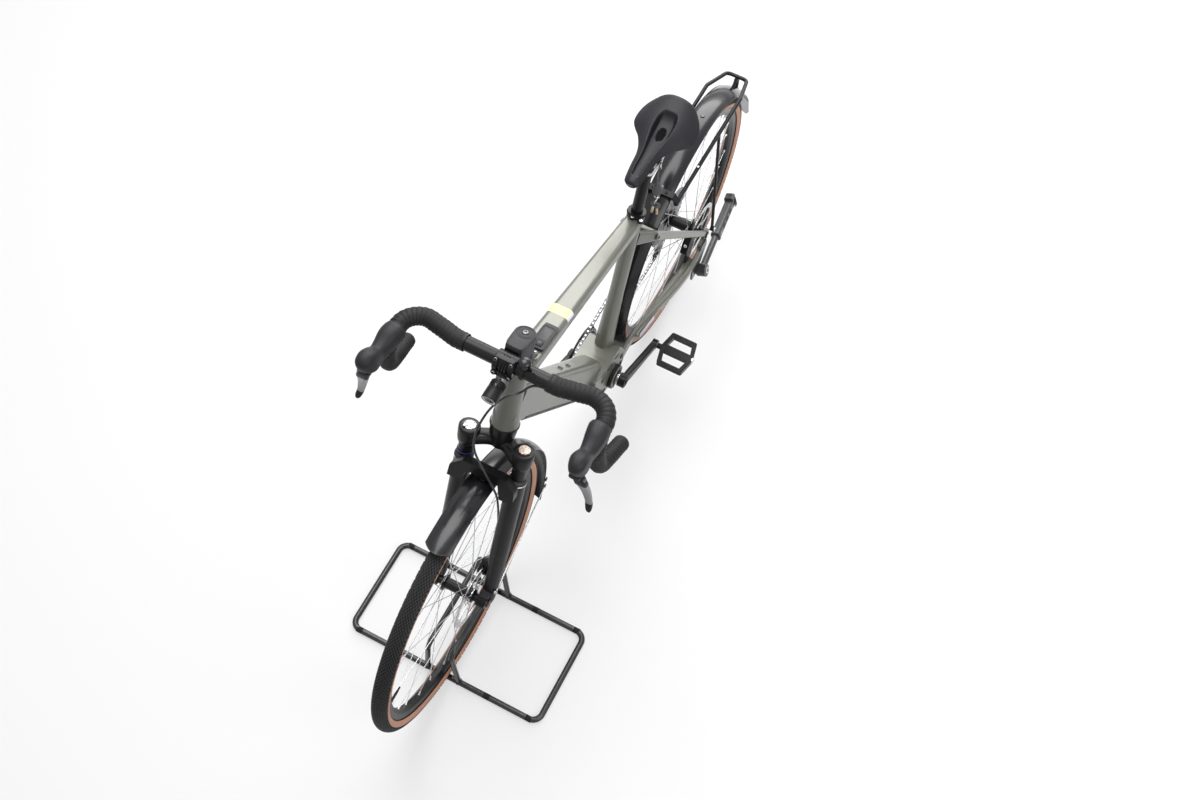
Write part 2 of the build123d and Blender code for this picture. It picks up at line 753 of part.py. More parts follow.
with BuildPart() as lowers:
    for side in (1, -1):
        with BuildSketch(steer_plane(-4, leg_out, side * leg_spacing / 2)):
            RectangleRounded(34, 22, 8)
        with BuildSketch(steer_plane(60, leg_out, side * leg_spacing / 2)):
            Circle(17)
        with BuildSketch(steer_plane(150, leg_out, side * leg_spacing / 2)):
            Circle(lower_radius)
        loft()
        with BuildSketch(steer_plane(150, leg_out, side * leg_spacing / 2)):
            Circle(lower_radius)
        extrude(amount=lower_top - 150)
        face_y = front_hub_width / 2 + seat_gap if side < 0 else front_hub_width / 2 + seat_gap + 22
        with BuildSketch(side_plane(side * (face_y if side > 0 else front_hub_width / 2 + seat_gap))):
            with Locations((wheelbase, tyre_radius)):
                Circle(16)
            with Locations((wheelbase - 16, tyre_radius + 4)):
                Rectangle(34, 34)
        extrude(amount=22)
    arch_plane = Plane(origin=steer(lower_top - 40, 65), x_dir=(0, 1, 0), z_dir=steer_out * -1)
    with BuildSketch(arch_plane):
        with BuildLine():
            Polyline(
                (-78, 0), (-76, -34), (-50, -60), (50, -60), (76, -34), (78, 0),
                (46, 0), (37, -36), (-37, -36), (-46, 0), close=True,
            )
        make_face()
        fillet(vertices().sort_by(Axis.Z)[-6:], 13)
    extrude(amount=20.5)
    with BuildSketch(steer_plane(34, 2, caliper_seat_y + seat_gap + 9)):
        Rectangle(34, 18)
    extrude(amount=52)
    for side in (1, -1):
        add(pin(stay_eye(side, 60), stay_eye(side, 79), 6))
    with BuildSketch(steer_plane(lower_top - 62)):
        with Locations((leg_out, leg_spacing / 2), (leg_out, -leg_spacing / 2)):
            Circle(stanchion_radius + seat_gap)
    extrude(amount=70, mode=Mode.SUBTRACT)
    with BuildSketch(side_plane(90)):
        with Locations((wheelbase, tyre_radius)):
            Circle(axle_radius + seat_gap)
    extrude(amount=180, mode=Mode.SUBTRACT)
save(lowers.part, "fork_lowers")

# ------------------------------------------------------------------ mudguards


def guard(centre, first, last):
    """Arched mudguard over a wheel, from the first angle to the last, counted up from forward."""
    with BuildPart() as shell:
        start = Plane(
            origin=centre,
            x_dir=(0, 1, 0),
            z_dir=(sin(radians(first)), 0, -cos(radians(first))),
        )
        with BuildSketch(start):
            with BuildLine():
                ThreePointArc(
                    (-guard_half_width, guard_edge_radius),
                    (0, guard_radius),
                    (guard_half_width, guard_edge_radius),
                )
                Line((guard_half_width, guard_edge_radius), (guard_half_width - guard_thickness, guard_edge_radius))
                ThreePointArc(
                    (guard_half_width - guard_thickness, guard_edge_radius),
                    (0, guard_radius - guard_thickness),
                    (-guard_half_width + guard_thickness, guard_edge_radius),
                )
                Line((-guard_half_width + guard_thickness, guard_edge_radius), (-guard_half_width, guard_edge_radius))
            make_face()
        revolve(axis=Axis(centre, (0, -1, 0)), revolution_arc=last - first)
    return shell.part


front_guard_first = 82.0
front_guard_last = 203.0
rear_guard_first = -8.0
rear_guard_last = 156.0
flap_last = 171.0

with BuildPart() as front_guard:
    add(guard(front_axle_at, front_guard_first, front_guard_last))
    add(pin(steer(guard_radius - 1, fork_offset), steer(arch_window - seat_gap, fork_offset), 8))
save(front_guard.part, "front_mudguard")
save(guard(rear_axle_at, rear_guard_first, rear_guard_last), "rear_mudguard")
save(guard(rear_axle_at, rear_guard_last + 0.05, flap_last), "rear_mudguard_flap")


def on_guard(centre, angle, radius, y=0.0):
    """Point at an angle round a wheel, counted up from forward."""
    return centre + Vector(radius * cos(radians(angle)), y, radius * sin(radians(angle)))


stay_y = guard_half_width + stay_radius + seat_gap
with BuildPart() as front_stays:
    for side in (1, -1):
        low = stay_eye(side, 82)
        high = on_guard(front_axle_at, front_guard_last - 8, guard_edge_radius, side * stay_y)
        add(pin(low, high, stay_radius))
        add(pin(stay_eye(side, 79.3), stay_eye(side, 84.5), 5))
save(front_stays.part, "front_mudguard_stays")

# ------------------------------------------------------------------ stem, bar and controls
bar_at = steer(bar_up, bar_out)
face_gap = 0.3
with BuildPart() as stem:
    with BuildSketch(steer_plane(bar_up - stem_height / 2)):
        Circle(steerer_radius + 4.5)
        with Locations((bar_out / 2 - 4, 0)):
            Rectangle(bar_out - 18, 32)
    extrude(amount=stem_height)
    with BuildSketch(Plane(origin=bar_at + Vector(0, 22, 0), x_dir=steer_out, z_dir=(0, -1, 0))):
        Circle(bar_radius + 5)
    extrude(amount=44)
    with BuildSketch(Plane(origin=bar_at + Vector(0, 30, 0), x_dir=steer_out, z_dir=(0, -1, 0))):
        Circle(bar_radius + face_gap)
    extrude(amount=60, mode=Mode.SUBTRACT)
    with BuildSketch(steer_plane(bar_up - stem_height)):
        Circle(steerer_radius + face_gap)
    extrude(amount=2 * stem_height, mode=Mode.SUBTRACT)
save(stem.part, "stem")

with BuildPart() as stem_cover:
    with BuildSketch(steer_plane(head_top + running_gap)):
        Circle(29)
        Circle(steerer_radius + face_gap, mode=Mode.SUBTRACT)
    extrude(amount=bar_up - stem_height / 2 - head_top - running_gap - face_gap)
    with BuildSketch(steer_plane(bar_up + stem_height / 2 + face_gap)):
        Circle(21)
        with Locations((bar_out / 4, 0)):
            Rectangle(bar_out / 2, 38)
    extrude(amount=7)
save(stem_cover.part, "stem_cover")

bar_y = Vector(0, 1, 0)


def bar_points(side):
    """Centre line of one half of the drop bar, from the clamp to the drop's end."""
    wide = side * bar_half_width
    return [
        bar_at,
        bar_at + Vector(0, side * tape_square, 0),
        bar_at + Vector(-bar_sweep, wide, 0),
        bar_at + Vector(bar_reach, wide + side * 4, 4),
        bar_at + Vector(bar_reach - 10, wide + side * 14, -bar_drop),
        bar_at + Vector(-20, wide + side * bar_flare, -bar_drop - 34),
    ]


with BuildPart() as handlebar:
    add(pin(bar_at - bar_y * tape_start, bar_at + bar_y * tape_start, bar_radius))
save(handlebar.part, "handlebar")

for name, side in (("left", 1), ("right", -1)):
    points = bar_points(side)
    points[0] = bar_at + bar_y * side * (tape_start + 0.02)
    save(rod(points, tape_radius, bar_bend), f"bar_tape_{name}")

hood_sections = (
    (40, 222, 5, 43, 44, 0.0),
    (68, 224, 12, 43, 50, 0.1),
    (100, 225, 14, 38, 50, 0.15),
    (124, 225, 20, 36, 56, 0.1),
    (144, 225, 27, 34, 50, -0.1),
    (157, 226, 28, 20, 28, -0.2),
)
lever_sections = (
    (143, 230, 2, 15, 12, 0.1),
    (148, 236, -26, 20, 11, 0.0),
    (140, 246, -68, 18, 8, -0.1),
    (141, 253, -104, 15, 8, 0.15),
    (150, 258, -126, 11, 7, 0.35),
)
for name, side in (("left", 1), ("right", -1)):
    with BuildPart() as hood:
        for ahead, out_y, rise, across, tall, lean in hood_sections:
            centre = Vector(bar_at.X + ahead, side * out_y, bar_at.Z + rise)
            with BuildSketch(Plane(origin=centre, x_dir=(0, 1, 0), z_dir=(1, 0, lean))):
                RectangleRounded(across, tall, min(across, tall) * 0.42)
        loft()
        add(rod(bar_points(side)[1:], tape_radius + seat_gap, bar_bend), mode=Mode.SUBTRACT)
    save(hood.part, f"brake_hood_{name}")
    with BuildPart() as lever:
        for ahead, out_y, rise, across, deep, lean in lever_sections:
            centre = Vector(bar_at.X + ahead, side * out_y, bar_at.Z + rise)
            with BuildSketch(Plane(origin=centre, x_dir=(0, 1, 0), z_dir=(lean, 0, -1))):
                RectangleRounded(across, deep, deep * 0.4)
        loft()
        add(hood.part, mode=Mode.SUBTRACT)
    save(lever.part, f"brake_lever_{name}")

lamp_at = at(933, 0, 991)
lamp_tilt = 20
lamp_dir = Vector(cos(radians(lamp_tilt)), 0, -sin(radians(lamp_tilt)))
with BuildPart() as headlight:
    with BuildSketch(Plane(origin=lamp_at - lamp_dir * 14, x_dir=(0, 1, 0), z_dir=lamp_dir)):
        Circle(15)
    extrude(amount=42)
    lamp_arm = (lamp_at - bar_at).normalized()
    add(pin(bar_at + lamp_arm * (bar_radius + 5 + seat_gap), lamp_at - lamp_dir * 2, 6))
save(headlight.part, "headlight")

with BuildPart() as bell:
    bell_y = 38
    add(pin(bar_at + Vector(0, bell_y - 4, 0), bar_at + Vector(0, bell_y + 4, 0), bar_radius + 4))
    with BuildSketch(Plane(origin=bar_at + Vector(0, bell_y, bar_radius + 3))):
        Circle(11)
    extrude(amount=12)
    with BuildSketch(Plane(origin=bar_at + Vector(0, bell_y + 6, 0), x_dir=(1, 0, 0), z_dir=(0, -1, 0))):
        Circle(bar_radius + face_gap)
    extrude(amount=12, mode=Mode.SUBTRACT)
save(bell.part, "bell")

# ------------------------------------------------------------------ brakes


def caliper(centre, angle, brake_side, inner, outer):
    """Brake caliper whose slot straddles the disc at an angle round the axle."""
    along = Vector(cos(radians(angle)), 0, sin(radians(angle)))
    mid = centre + along * (disc_radius - 4)
    with BuildPart() as body:
        with BuildSketch(Plane(origin=mid + Vector(0, inner, 0), x_dir=along, z_dir=(0, 1, 0))):
            RectangleRounded(38, 56, 9)
        extrude(amount=outer - inner)
        with BuildSketch(Plane(origin=centre + Vector(0, brake_side - 2.4, 0), z_dir=(0, 1, 0))):
            Circle(disc_radius + 4)
        extrude(amount=4.8, mode=Mode.SUBTRACT)
    return body.part


front_caliper_angle = 150.0
save(caliper(front_axle_at, front_caliper_angle, disc_side, 27, caliper_seat_y), "front_brake_caliper")

with BuildPart() as rear_caliper:
    add(caliper(rear_axle_at, 27, rear_disc_side, 49, 67))
    with BuildSketch(side_plane(67)):
        with Locations((72, tyre_radius - 6)):
            Rectangle(34, 44)
    extrude(amount=6.5)
    add(chain_stays.part, mode=Mode.SUBTRACT)
    add(seat_stays.part, mode=Mode.SUBTRACT)
save(rear_caliper.part, "rear_brake_caliper")


hose_radius = 2.5
hose_dir = Vector(0.35, 0, -0.94).normalized()
hose_start = bar_at + hose_dir * (bar_radius + hose_radius + seat_gap)
caliper_dir = Vector(cos(radians(front_caliper_angle)), 0, sin(radians(front_caliper_angle)))
hose_end = front_axle_at + caliper_dir * (disc_radius + 15 + seat_gap) + Vector(0, disc_side, 0)
hose_points = (
    hose_start + Vector(0, tape_start - seat_gap, 0),
    hose_start + Vector(0, 62, 0),
    bar_at + Vector(32, 44, -36),
    steer(622, 56, 14),
    steer(560, 62, -22),
    steer(470, 78, -36),
    steer(420, 84, 6),
    steer(382, 80, 34),
    steer(290, 24, 34),
    hose_end + caliper_dir * 40,
    hose_end,
)
save(rod(hose_points, hose_radius, 14), "front_brake_hose")

# ------------------------------------------------------------------ chain and derailleur
cog_radius = pitch_radius(cassette_teeth[running_cog])
pulley_radius = pitch_radius(pulley_teeth)
guide_at = at(12, -chain_side, tyre_radius - 88)
tension_at = at(-8, -chain_side, tyre_radius - 178)


def tangent(centre_a, radius_a, centre_b, radius_b, sign_a, sign_b):
    """Points where a straight run leaves circle a and meets circle b, by side of the run."""
    dx = centre_b[0] - centre_a[0]
    dz = centre_b[1] - centre_a[1]
    span = hypot(dx, dz)
    base = atan2(dz, dx)
    tilt = asin((sign_a * radius_a - sign_b * radius_b) / span)
    normal = base + pi / 2 - tilt
    start = (centre_a[0] + sign_a * radius_a * cos(normal), centre_a[1] + sign_a * radius_a * sin(normal))
    end = (centre_b[0] + sign_b * radius_b * cos(normal), centre_b[1] + sign_b * radius_b * sin(normal))
    return start, end


ring_c = (bottom_bracket_x, bottom_bracket_z)
cog_c = (0.0, tyre_radius)
guide_c = (guide_at.X - rear_x, guide_at.Z)
tension_c = (tension_at.X - rear_x, tension_at.Z)
top_a, top_b = tangent(cog_c, cog_radius, ring_c, ring_radius, 1, 1)
low_a, low_b = tangent(ring_c, ring_radius, tension_c, pulley_radius, 1, 1)
mid_a, mid_b = tangent(tension_c, pulley_radius, guide_c, pulley_radius, 1, -1)
fed_a, fed_b = tangent(guide_c, pulley_radius, cog_c, cog_radius, -1, 1)


def arc_middle(centre, radius, start, end, clockwise):
    """Point half way round an arc between two points of a circle."""
    a = atan2(start[1] - centre[1], start[0] - centre[0])
    b = atan2(end[1] - centre[1], end[0] - centre[0])
    if clockwise:
        while b > a:
            b -= 2 * pi
    else:
        while b < a:
            b += 2 * pi
    half = (a + b) / 2
    return (centre[0] + radius * cos(half), centre[1] + radius * sin(half))


with BuildSketch() as chain_loop:
    with BuildLine():
        Line(top_a, top_b)
        ThreePointArc(top_b, arc_middle(ring_c, ring_radius, top_b, low_a, True), low_a)
        Line(low_a, low_b)
        ThreePointArc(low_b, arc_middle(tension_c, pulley_radius, low_b, mid_a, True), mid_a)
        Line(mid_a, mid_b)
        ThreePointArc(mid_b, arc_middle(guide_c, pulley_radius, mid_b, fed_a, False), fed_a)
        Line(fed_a, fed_b)
        ThreePointArc(fed_b, arc_middle(cog_c, cog_radius, fed_b, top_a, True), top_a)
    make_face()
with BuildSketch() as chain_band:
    offset(chain_loop.sketch, amount=3.6)
    offset(chain_loop.sketch, amount=-3.6, mode=Mode.SUBTRACT)

def clear_of_teeth(x, z):
    """Whether a pin at this place stays out of every sprocket's teeth as it turns."""
    wheels = ((ring_c, ring_radius), (cog_c, cog_radius), (guide_c, pulley_radius), (tension_c, pulley_radius))
    return all(hypot(x - c[0], z - c[1]) > r + roller_tip + roller_radius + running_gap for c, r in wheels)


with BuildPart() as chain:
    for plate_start in (chain_gap_half + chain_plate, -chain_gap_half):
        with BuildSketch(side_plane(-chain_side + plate_start)):
            add(chain_band.sketch)
        extrude(amount=chain_plate)
    for start, end in ((top_a, top_b), (low_a, low_b)):
        span = hypot(end[0] - start[0], end[1] - start[1])
        for k in range(1, floor(span / chain_pitch)):
            x = start[0] + (end[0] - start[0]) * k * chain_pitch / span
            z = start[1] + (end[1] - start[1]) * k * chain_pitch / span
            if clear_of_teeth(x, z):
                half = chain_gap_half + chain_plate
                add(pin(at(x, -chain_side - half, z), at(x, -chain_side + half, z), roller_radius - 0.3))
save(chain.part, "chain")

with BuildPart() as derailleur:
    for y in (-chain_side - 6.2, -chain_side + 4.0):
        with BuildSketch(Plane(origin=(guide_at.X, y, guide_at.Z), z_dir=(0, 1, 0))):
            Circle(9)
        extrude(amount=2.2)
        with BuildSketch(Plane(origin=(tension_at.X, y, tension_at.Z), z_dir=(0, 1, 0))):
            Circle(9)
        extrude(amount=2.2)
        run = tension_at - guide_at
        middle = (tension_at + guide_at) / 2
        with BuildSketch(Plane(origin=(middle.X, y, middle.Z), x_dir=run, z_dir=(0, 1, 0))):
            Rectangle(run.length, 14)
        extrude(amount=2.2)
    for wheel_at in (guide_at, tension_at):
        add(sprocket(wheel_at, pulley_teeth, -chain_side, 2.2, 3))
        add(pin(wheel_at - Vector(0, 6.2, 0), wheel_at + Vector(0, 6.2, 0), 4))
    knuckle = at(4, -dropout_outer - seat_gap, tyre_radius - 34)
    add(pin(knuckle, knuckle - Vector(0, 14, 0), 12))
    add(pin(knuckle - Vector(0, 12.5, 13), guide_at - Vector(0, 16, 0), 8))
    add(pin(guide_at - Vector(0, 24, 0), guide_at - Vector(0, 5, 0), 12))
save(derailleur.part, "rear_derailleur")

# ------------------------------------------------------------------ carrier
with BuildPart() as carrier:
    rail = carrier_half_width
    add(
        rod(
            (
                at(172, rail, carrier_height + 4),
                at(-194, rail, carrier_height - 9),
                at(-285, 27, carrier_height - 46),
                at(-285, -27, carrier_height - 46),
                at(-194, -rail, carrier_height - 9),
                at(172, -rail, carrier_height + 4),
            ),
            carrier_radius,
            14,
        )
    )
    with BuildSketch(Plane(origin=at(158, 0, carrier_height), x_dir=(0, 1, 0), z_dir=(1, 0, 0))):
        with BuildLine():
            Polyline(
                (-rail - 2, 2), (-rail - 2, 13), (-rail + 9, 25), (rail - 9, 25), (rail + 2, 13), (rail + 2, 2),
                (rail - 2, 2), (rail - 2, 11.5), (rail - 10.5, 21), (-rail + 10.5, 21), (-rail + 2, 11.5),
                (-rail + 2, 2), close=True,
            )
        make_face()
    extrude(amount=16)
    for side in (1, -1):
        add(pin(at(-72, side * rail, carrier_height - 4), at(-22, side * (dropout_outer + 4.5), tyre_radius + 6), 4))
        add(pin(at(-22, side * (dropout_outer + 0.3), tyre_radius + 6), at(-22, side * (dropout_outer + 9), tyre_radius + 6), 7))
    tail = at(-286, 0, carrier_height - 48)
    tail_angle = degrees(atan2(tail.Z - rear_axle_at.Z, tail.X - rear_axle_at.X))
    add(pin(tail, on_guard(rear_axle_at, tail_angle, guard_radius + seat_gap), 4))
save(carrier.part, "carrier")

# ------------------------------------------------------------------ kickstand
kick_at = at(45, 100, 262)
kick_foot = at(-222, 67, 226)
kick_axis = Vector(-0.1463, 0.9277, 0.3375).normalized()
kick_plate = 5.0
kick_knuckle = 17.0
with BuildPart() as kickstand_mount:
    with BuildSketch(side_plane(dropout_outer + seat_gap + kick_plate)):
        with BuildLine():
            Polyline((2, 322), (8, 348), (38, 348), (84, 312), (74, 240), (46, 238), (28, 268), close=True)
        make_face()
        fillet(vertices(), 5)
    extrude(amount=kick_plate)
    add(pin(kick_at - kick_axis * 9.3, kick_at + kick_axis * 30, kick_knuckle + 1.5), mode=Mode.SUBTRACT)
    add(pin(kick_at - kick_axis * 22, kick_at - kick_axis * 9.3, 13))
    add(chain_stays.part, mode=Mode.SUBTRACT)
save(kickstand_mount.part, "kickstand_mount")

with BuildPart() as kickstand:
    leg = kick_foot - kick_at
    add(pin(kick_at, kick_foot, 9))
    with BuildSketch(Plane(origin=kick_at + leg * 0.46, x_dir=kick_axis, z_dir=leg)):
        RectangleRounded(24, 25, 7)
    extrude(amount=leg.length * 0.54)
    with BuildSketch(Plane(origin=kick_foot - leg.normalized() * 20, x_dir=kick_axis, z_dir=leg)):
        with Locations((0, -4)):
            RectangleRounded(25, 33, 5)
    extrude(amount=20)
    add(pin(kick_at - kick_axis * 9, kick_at + kick_axis * 14, kick_knuckle))
save(kickstand.part, "kickstand")

# ------------------------------------------------------------------ control module
top_dir = (top_start - top_end).normalized()
top_up = Vector(-top_dir.Z, 0, top_dir.X)
module_at = at(754, 0, 0)
share = (module_at.X - top_end.X) / (top_start.X - top_end.X)
module_base = top_end + (top_start - top_end) * share
with BuildPart() as control_module:
    with BuildSketch(Plane(origin=module_base + top_up * 20 + Vector(0, 9, 0), x_dir=top_dir, z_dir=top_up)):
        RectangleRounded(70, 32, 5)
    extrude(amount=8)
    add(main_frame.part, mode=Mode.SUBTRACT)
save(control_module.part, "control_module")

# ------------------------------------------------------------------ display stand
tube = stand_tube_radius
chock_gap = 0.8
chock_reach = sqrt((tyre_radius + tube + chock_gap) ** 2 - (tyre_radius - tube) ** 2)
stand_front = wheelbase + chock_reach
stand_rear = stand_front - stand_length
hoop_foot_y = 43.0
hoop_top_y = 30.0
hoop_top_z = 186.0
hoop_radius = 6.5
with BuildPart() as display_stand:
    for side in (1, -1):
        base = (
            at(stand_front, 0, tube),
            at(stand_front, side * stand_half_width, tube),
            at(stand_rear, side * stand_half_width, tube),
            at(stand_rear, 0, tube),
        )
        hoop = (
            at(stand_front, side * hoop_foot_y, tube),
            at(stand_front, side * hoop_top_y, hoop_top_z),
            at(stand_rear, side * hoop_top_y, hoop_top_z),
            at(stand_rear, side * hoop_foot_y, tube),
        )
        add(rod(base, tube, 24))
        add(rod(hoop, hoop_radius, 20))
save(display_stand.part, "display_stand")
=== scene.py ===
"""Looks of an electric gravel bicycle that stands with its front wheel in a low display stand."""

import logging
import math
from dataclasses import dataclass, field
from enum import Enum
from math import cos, pi, radians, sin, tau
from typing import Any, Callable, Iterable, Sequence

import bmesh
import bpy
from mathutils import Matrix, Vector


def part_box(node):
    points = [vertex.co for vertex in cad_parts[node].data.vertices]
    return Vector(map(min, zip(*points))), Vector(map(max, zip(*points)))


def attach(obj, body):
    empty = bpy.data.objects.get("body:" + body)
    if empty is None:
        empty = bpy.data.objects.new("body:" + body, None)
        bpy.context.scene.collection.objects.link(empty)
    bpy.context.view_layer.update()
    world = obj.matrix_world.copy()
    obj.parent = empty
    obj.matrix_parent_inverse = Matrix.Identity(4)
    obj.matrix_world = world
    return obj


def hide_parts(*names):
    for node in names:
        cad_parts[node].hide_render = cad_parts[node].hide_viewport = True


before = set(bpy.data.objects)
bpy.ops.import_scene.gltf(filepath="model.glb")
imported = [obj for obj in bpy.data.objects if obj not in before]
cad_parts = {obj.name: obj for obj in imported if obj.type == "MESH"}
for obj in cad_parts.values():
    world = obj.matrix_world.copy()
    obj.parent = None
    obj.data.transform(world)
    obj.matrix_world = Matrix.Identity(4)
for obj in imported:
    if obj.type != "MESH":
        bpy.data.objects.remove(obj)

LOG = logging.getLogger("gravel_bicycle")
Colour = tuple[float, float, float]
Outline = Sequence[tuple[float, float]]
Table = tuple[tuple[float, ...], ...]
MM = 0.001
AHEAD, LEFT, UP = Vector((1, 0, 0)), Vector((0, 1, 0)), Vector((0, 0, 1))
SIDES = (("left", 1), ("right", -1))


# ---------------------------------------------------------------- shader expressions
class Sock:
    """A shader socket whose values can be used in Python expressions."""

    def __init__(self, dress: "Dress", socket: bpy.types.NodeSocket) -> None:
        """Wraps a socket of the material that dress builds."""
        self.dress = dress
        self.socket = socket

    def _math(self, operation: str, *operands: Any) -> "Sock":
        """Adds one Math node.

        Args:
            operation: the Math node's operation.
            operands: numbers or sockets, in order.
        Returns:
            The node's result.
        """
        inputs = dict(enumerate(operands))
        return self.dress.node("ShaderNodeMath", {"operation": operation}, inputs)

    def __add__(self, other: Any) -> "Sock":
        """Sum."""
        return self._math("ADD", self, other)

    __radd__ = __add__

    def __sub__(self, other: Any) -> "Sock":
        """Difference."""
        return self._math("SUBTRACT", self, other)

    def __rsub__(self, other: Any) -> "Sock":
        """Difference with this socket second."""
        return self._math("SUBTRACT", other, self)

    def __mul__(self, other: Any) -> "Sock":
        """Product."""
        return self._math("MULTIPLY", self, other)

    __rmul__ = __mul__

    def sine(self) -> "Sock":
        """Sine of this socket in radians."""
        return self._math("SINE", self)


class Dress:
    """Builds one procedural material."""

    def __init__(self, name: str) -> None:
        """Starts a material with a Principled shader."""
        self.material = bpy.data.materials.new(name)
        self.material.use_nodes = True
        self.tree = self.material.node_tree
        self.tree.nodes.clear()
        self.shader = self.tree.nodes.new("ShaderNodeBsdfPrincipled")
        self.output = self.tree.nodes.new("ShaderNodeOutputMaterial")
        self.tree.links.new(self.shader.outputs[0], self.output.inputs["Surface"])

    def put(self, target: bpy.types.NodeSocket, value: Any) -> None:
        """Links a socket or sets a constant on it."""
        if isinstance(value, Sock):
            self.tree.links.new(value.socket, target)
        elif isinstance(value, tuple) and len(value) == 3 and len(target.default_value) == 4:
            target.default_value = (*value, 1.0)
        else:
            target.default_value = value

    def node(
        self, kind: str, settings: dict[str, Any], inputs: dict[Any, Any], out: Any = 0
    ) -> Sock:
        """Adds any node.

        Args:
            kind: the node's type.
            settings: its attributes, set first.
            inputs: values or sockets by input name or number.
            out: which output to return.
        Returns:
            The chosen output.
        """
        made = self.tree.nodes.new(kind)
        for key, value in settings.items():
            setattr(made, key, value)
        for key, value in inputs.items():
            self.put(made.inputs[key], value)
        return Sock(self, made.outputs[out])

    def place(self) -> Sock:
        """Position on the piece, in metres."""
        return self.node("ShaderNodeTexCoord", {}, {}, "Object")

    def split(self, vector: Sock) -> tuple[Sock, Sock, Sock]:
        """The three parts of a vector."""
        made = self.tree.nodes.new("ShaderNodeSeparateXYZ")
        self.put(made.inputs[0], vector)
        return tuple(Sock(self, made.outputs[i]) for i in range(3))

    def noise(self, scale: float, detail: float = 4.0, stretch: Colour = (1.0, 1.0, 1.0)) -> Sock:
        """Fractal noise over the piece.

        Args:
            scale: features per metre.
            detail: octaves.
            stretch: factor along each axis.
        Returns:
            The noise, from 0 to 1.
        """
        where = self.node("ShaderNodeMapping", {}, {"Vector": self.place(), "Scale": stretch})
        inputs = {"Vector": where, "Scale": scale, "Detail": detail}
        return self.node("ShaderNodeTexNoise", {}, inputs, "Fac")

    def cells(self, scale: float, feature: str = "F1") -> Sock:
        """Cell pattern over the piece."""
        inputs = {"Vector": self.place(), "Scale": scale}
        return self.node("ShaderNodeTexVoronoi", {"feature": feature}, inputs, "Distance")

    def blend(self, share: Any, first: Any, second: Any) -> Sock:
        """Mixes two colours."""
        return self.node("ShaderNodeMix", {"data_type": "RGBA"}, {0: share, 6: first, 7: second}, 2)

    def bump(self, height: Sock, distance: float) -> None:
        """Feeds a height times a distance in metres to the shader's normal."""
        made = self.node("ShaderNodeBump", {}, {"Height": height, "Distance": distance}, "Normal")
        self.put(self.shader.inputs["Normal"], made)

    def set(self, **values: Any) -> None:
        """Sets shader inputs, with underscores for spaces in their names."""
        for key, value in values.items():
            self.put(self.shader.inputs[key.replace("_", " ")], value)


class Grain(Enum):
    """How a finish's surface is broken up."""

    SMOOTH = "smooth"
    FINE = "fine"
    PEBBLE = "pebble"
    BRUSHED = "brushed"
    FLAKE = "flake"
    CORD = "cord"
    LEATHER = "leather"
    FACETS = "facets"
    PEEL = "peel"


@dataclass(frozen=True)
class Finish:
    """A paint, plastic, rubber or metal finish.

    Attributes:
        name: material name.
        colour: base colour, linear.
        roughness: middle roughness.
        metallic: share of metal.
        grain: surface break-up.
        wear: how much lighter rubbed places are.
        coat: clear coat weight.
        shine: strength of the mirror-like part.
    """

    name: str
    colour: Colour
    roughness: float = 0.5
    metallic: float = 0.0
    grain: Grain = Grain.FINE
    wear: float = 0.1
    coat: float = 0.0
    shine: float = 0.5

    def material(self) -> bpy.types.Material:
        """Builds the material once and returns it."""
        label = f"{self.name}_finish"
        ready = bpy.data.materials.get(label)
        if ready:
            return ready
        dress = Dress(label)
        cloud = dress.noise(9.0, 5.0)
        fine = dress.noise(900.0, 3.0)
        light = tuple(min(1.0, c * (1 + self.wear) + self.wear * 0.02) for c in self.colour)
        dark = tuple(c * (1 - self.wear) for c in self.colour)
        dress.set(
            Base_Color=dress.blend(cloud, dark, light),
            Roughness=self.roughness * (0.86 + cloud * 0.28) + (fine - 0.5) * 0.06,
            Metallic=self.metallic,
            Specular_IOR_Level=self.shine,
        )
        if self.coat:
            dress.set(Coat_Weight=self.coat, Coat_Roughness=0.12)
        if self.grain is Grain.FINE:
            dress.bump(dress.noise(1500.0, 2.0), 0.00004)
        elif self.grain is Grain.PEBBLE:
            dress.bump(dress.cells(900.0), 0.00018)
        elif self.grain is Grain.BRUSHED:
            dress.bump(dress.noise(420.0, 3.0, (1.0, 9.0, 1.0)), 0.00002)
        elif self.grain is Grain.FLAKE:
            dress.bump(dress.noise(2600.0, 2.0), 0.00003)
        elif self.grain is Grain.CORD:
            x, _, z = dress.split(dress.place())
            cords = dress.node("ShaderNodeMath", {"operation": "ARCTAN2"}, {0: z, 1: x})
            dress.bump((cords * 1400.0).sine() * 0.5 + dress.noise(700.0, 2.0), 0.00006)
        elif self.grain is Grain.LEATHER:
            dress.bump(dress.cells(1100.0, "SMOOTH_F1") + dress.noise(240.0, 3.0) * 0.4, 0.00022)
        elif self.grain is Grain.FACETS:
            dress.bump(dress.cells(420.0), 0.0006)
        elif self.grain is Grain.PEEL:
            dress.bump(dress.noise(260.0, 2.0), 0.00012)
        return dress.material


PAINT = Finish("frame_paint", (0.150, 0.151, 0.129), 0.34, 0.35, Grain.FLAKE, 0.05, 0.25)
BLACK_METAL = Finish(
    "black_satin_metal", (0.007, 0.007, 0.008), 0.32, 0.1, Grain.FINE, 0.15, 0.0, 0.24
)
BLACK_PLASTIC = Finish(
    "black_plastic", (0.008, 0.008, 0.009), 0.42, 0.0, Grain.FINE, 0.12, 0.0, 0.22
)
GLOSS_PLASTIC = Finish(
    "guard_plastic", (0.004, 0.004, 0.006), 0.27, 0.0, Grain.SMOOTH, 0.1, 0.25, 0.3
)
GREY_PLASTIC = Finish("grey_plastic", (0.030, 0.030, 0.033), 0.5, 0.0, Grain.FINE, 0.08, 0.0, 0.28)
STEM_PLASTIC = Finish(
    "stem_cover_plastic", (0.030, 0.030, 0.034), 0.5, 0.0, Grain.FINE, 0.08, 0.0, 0.28
)
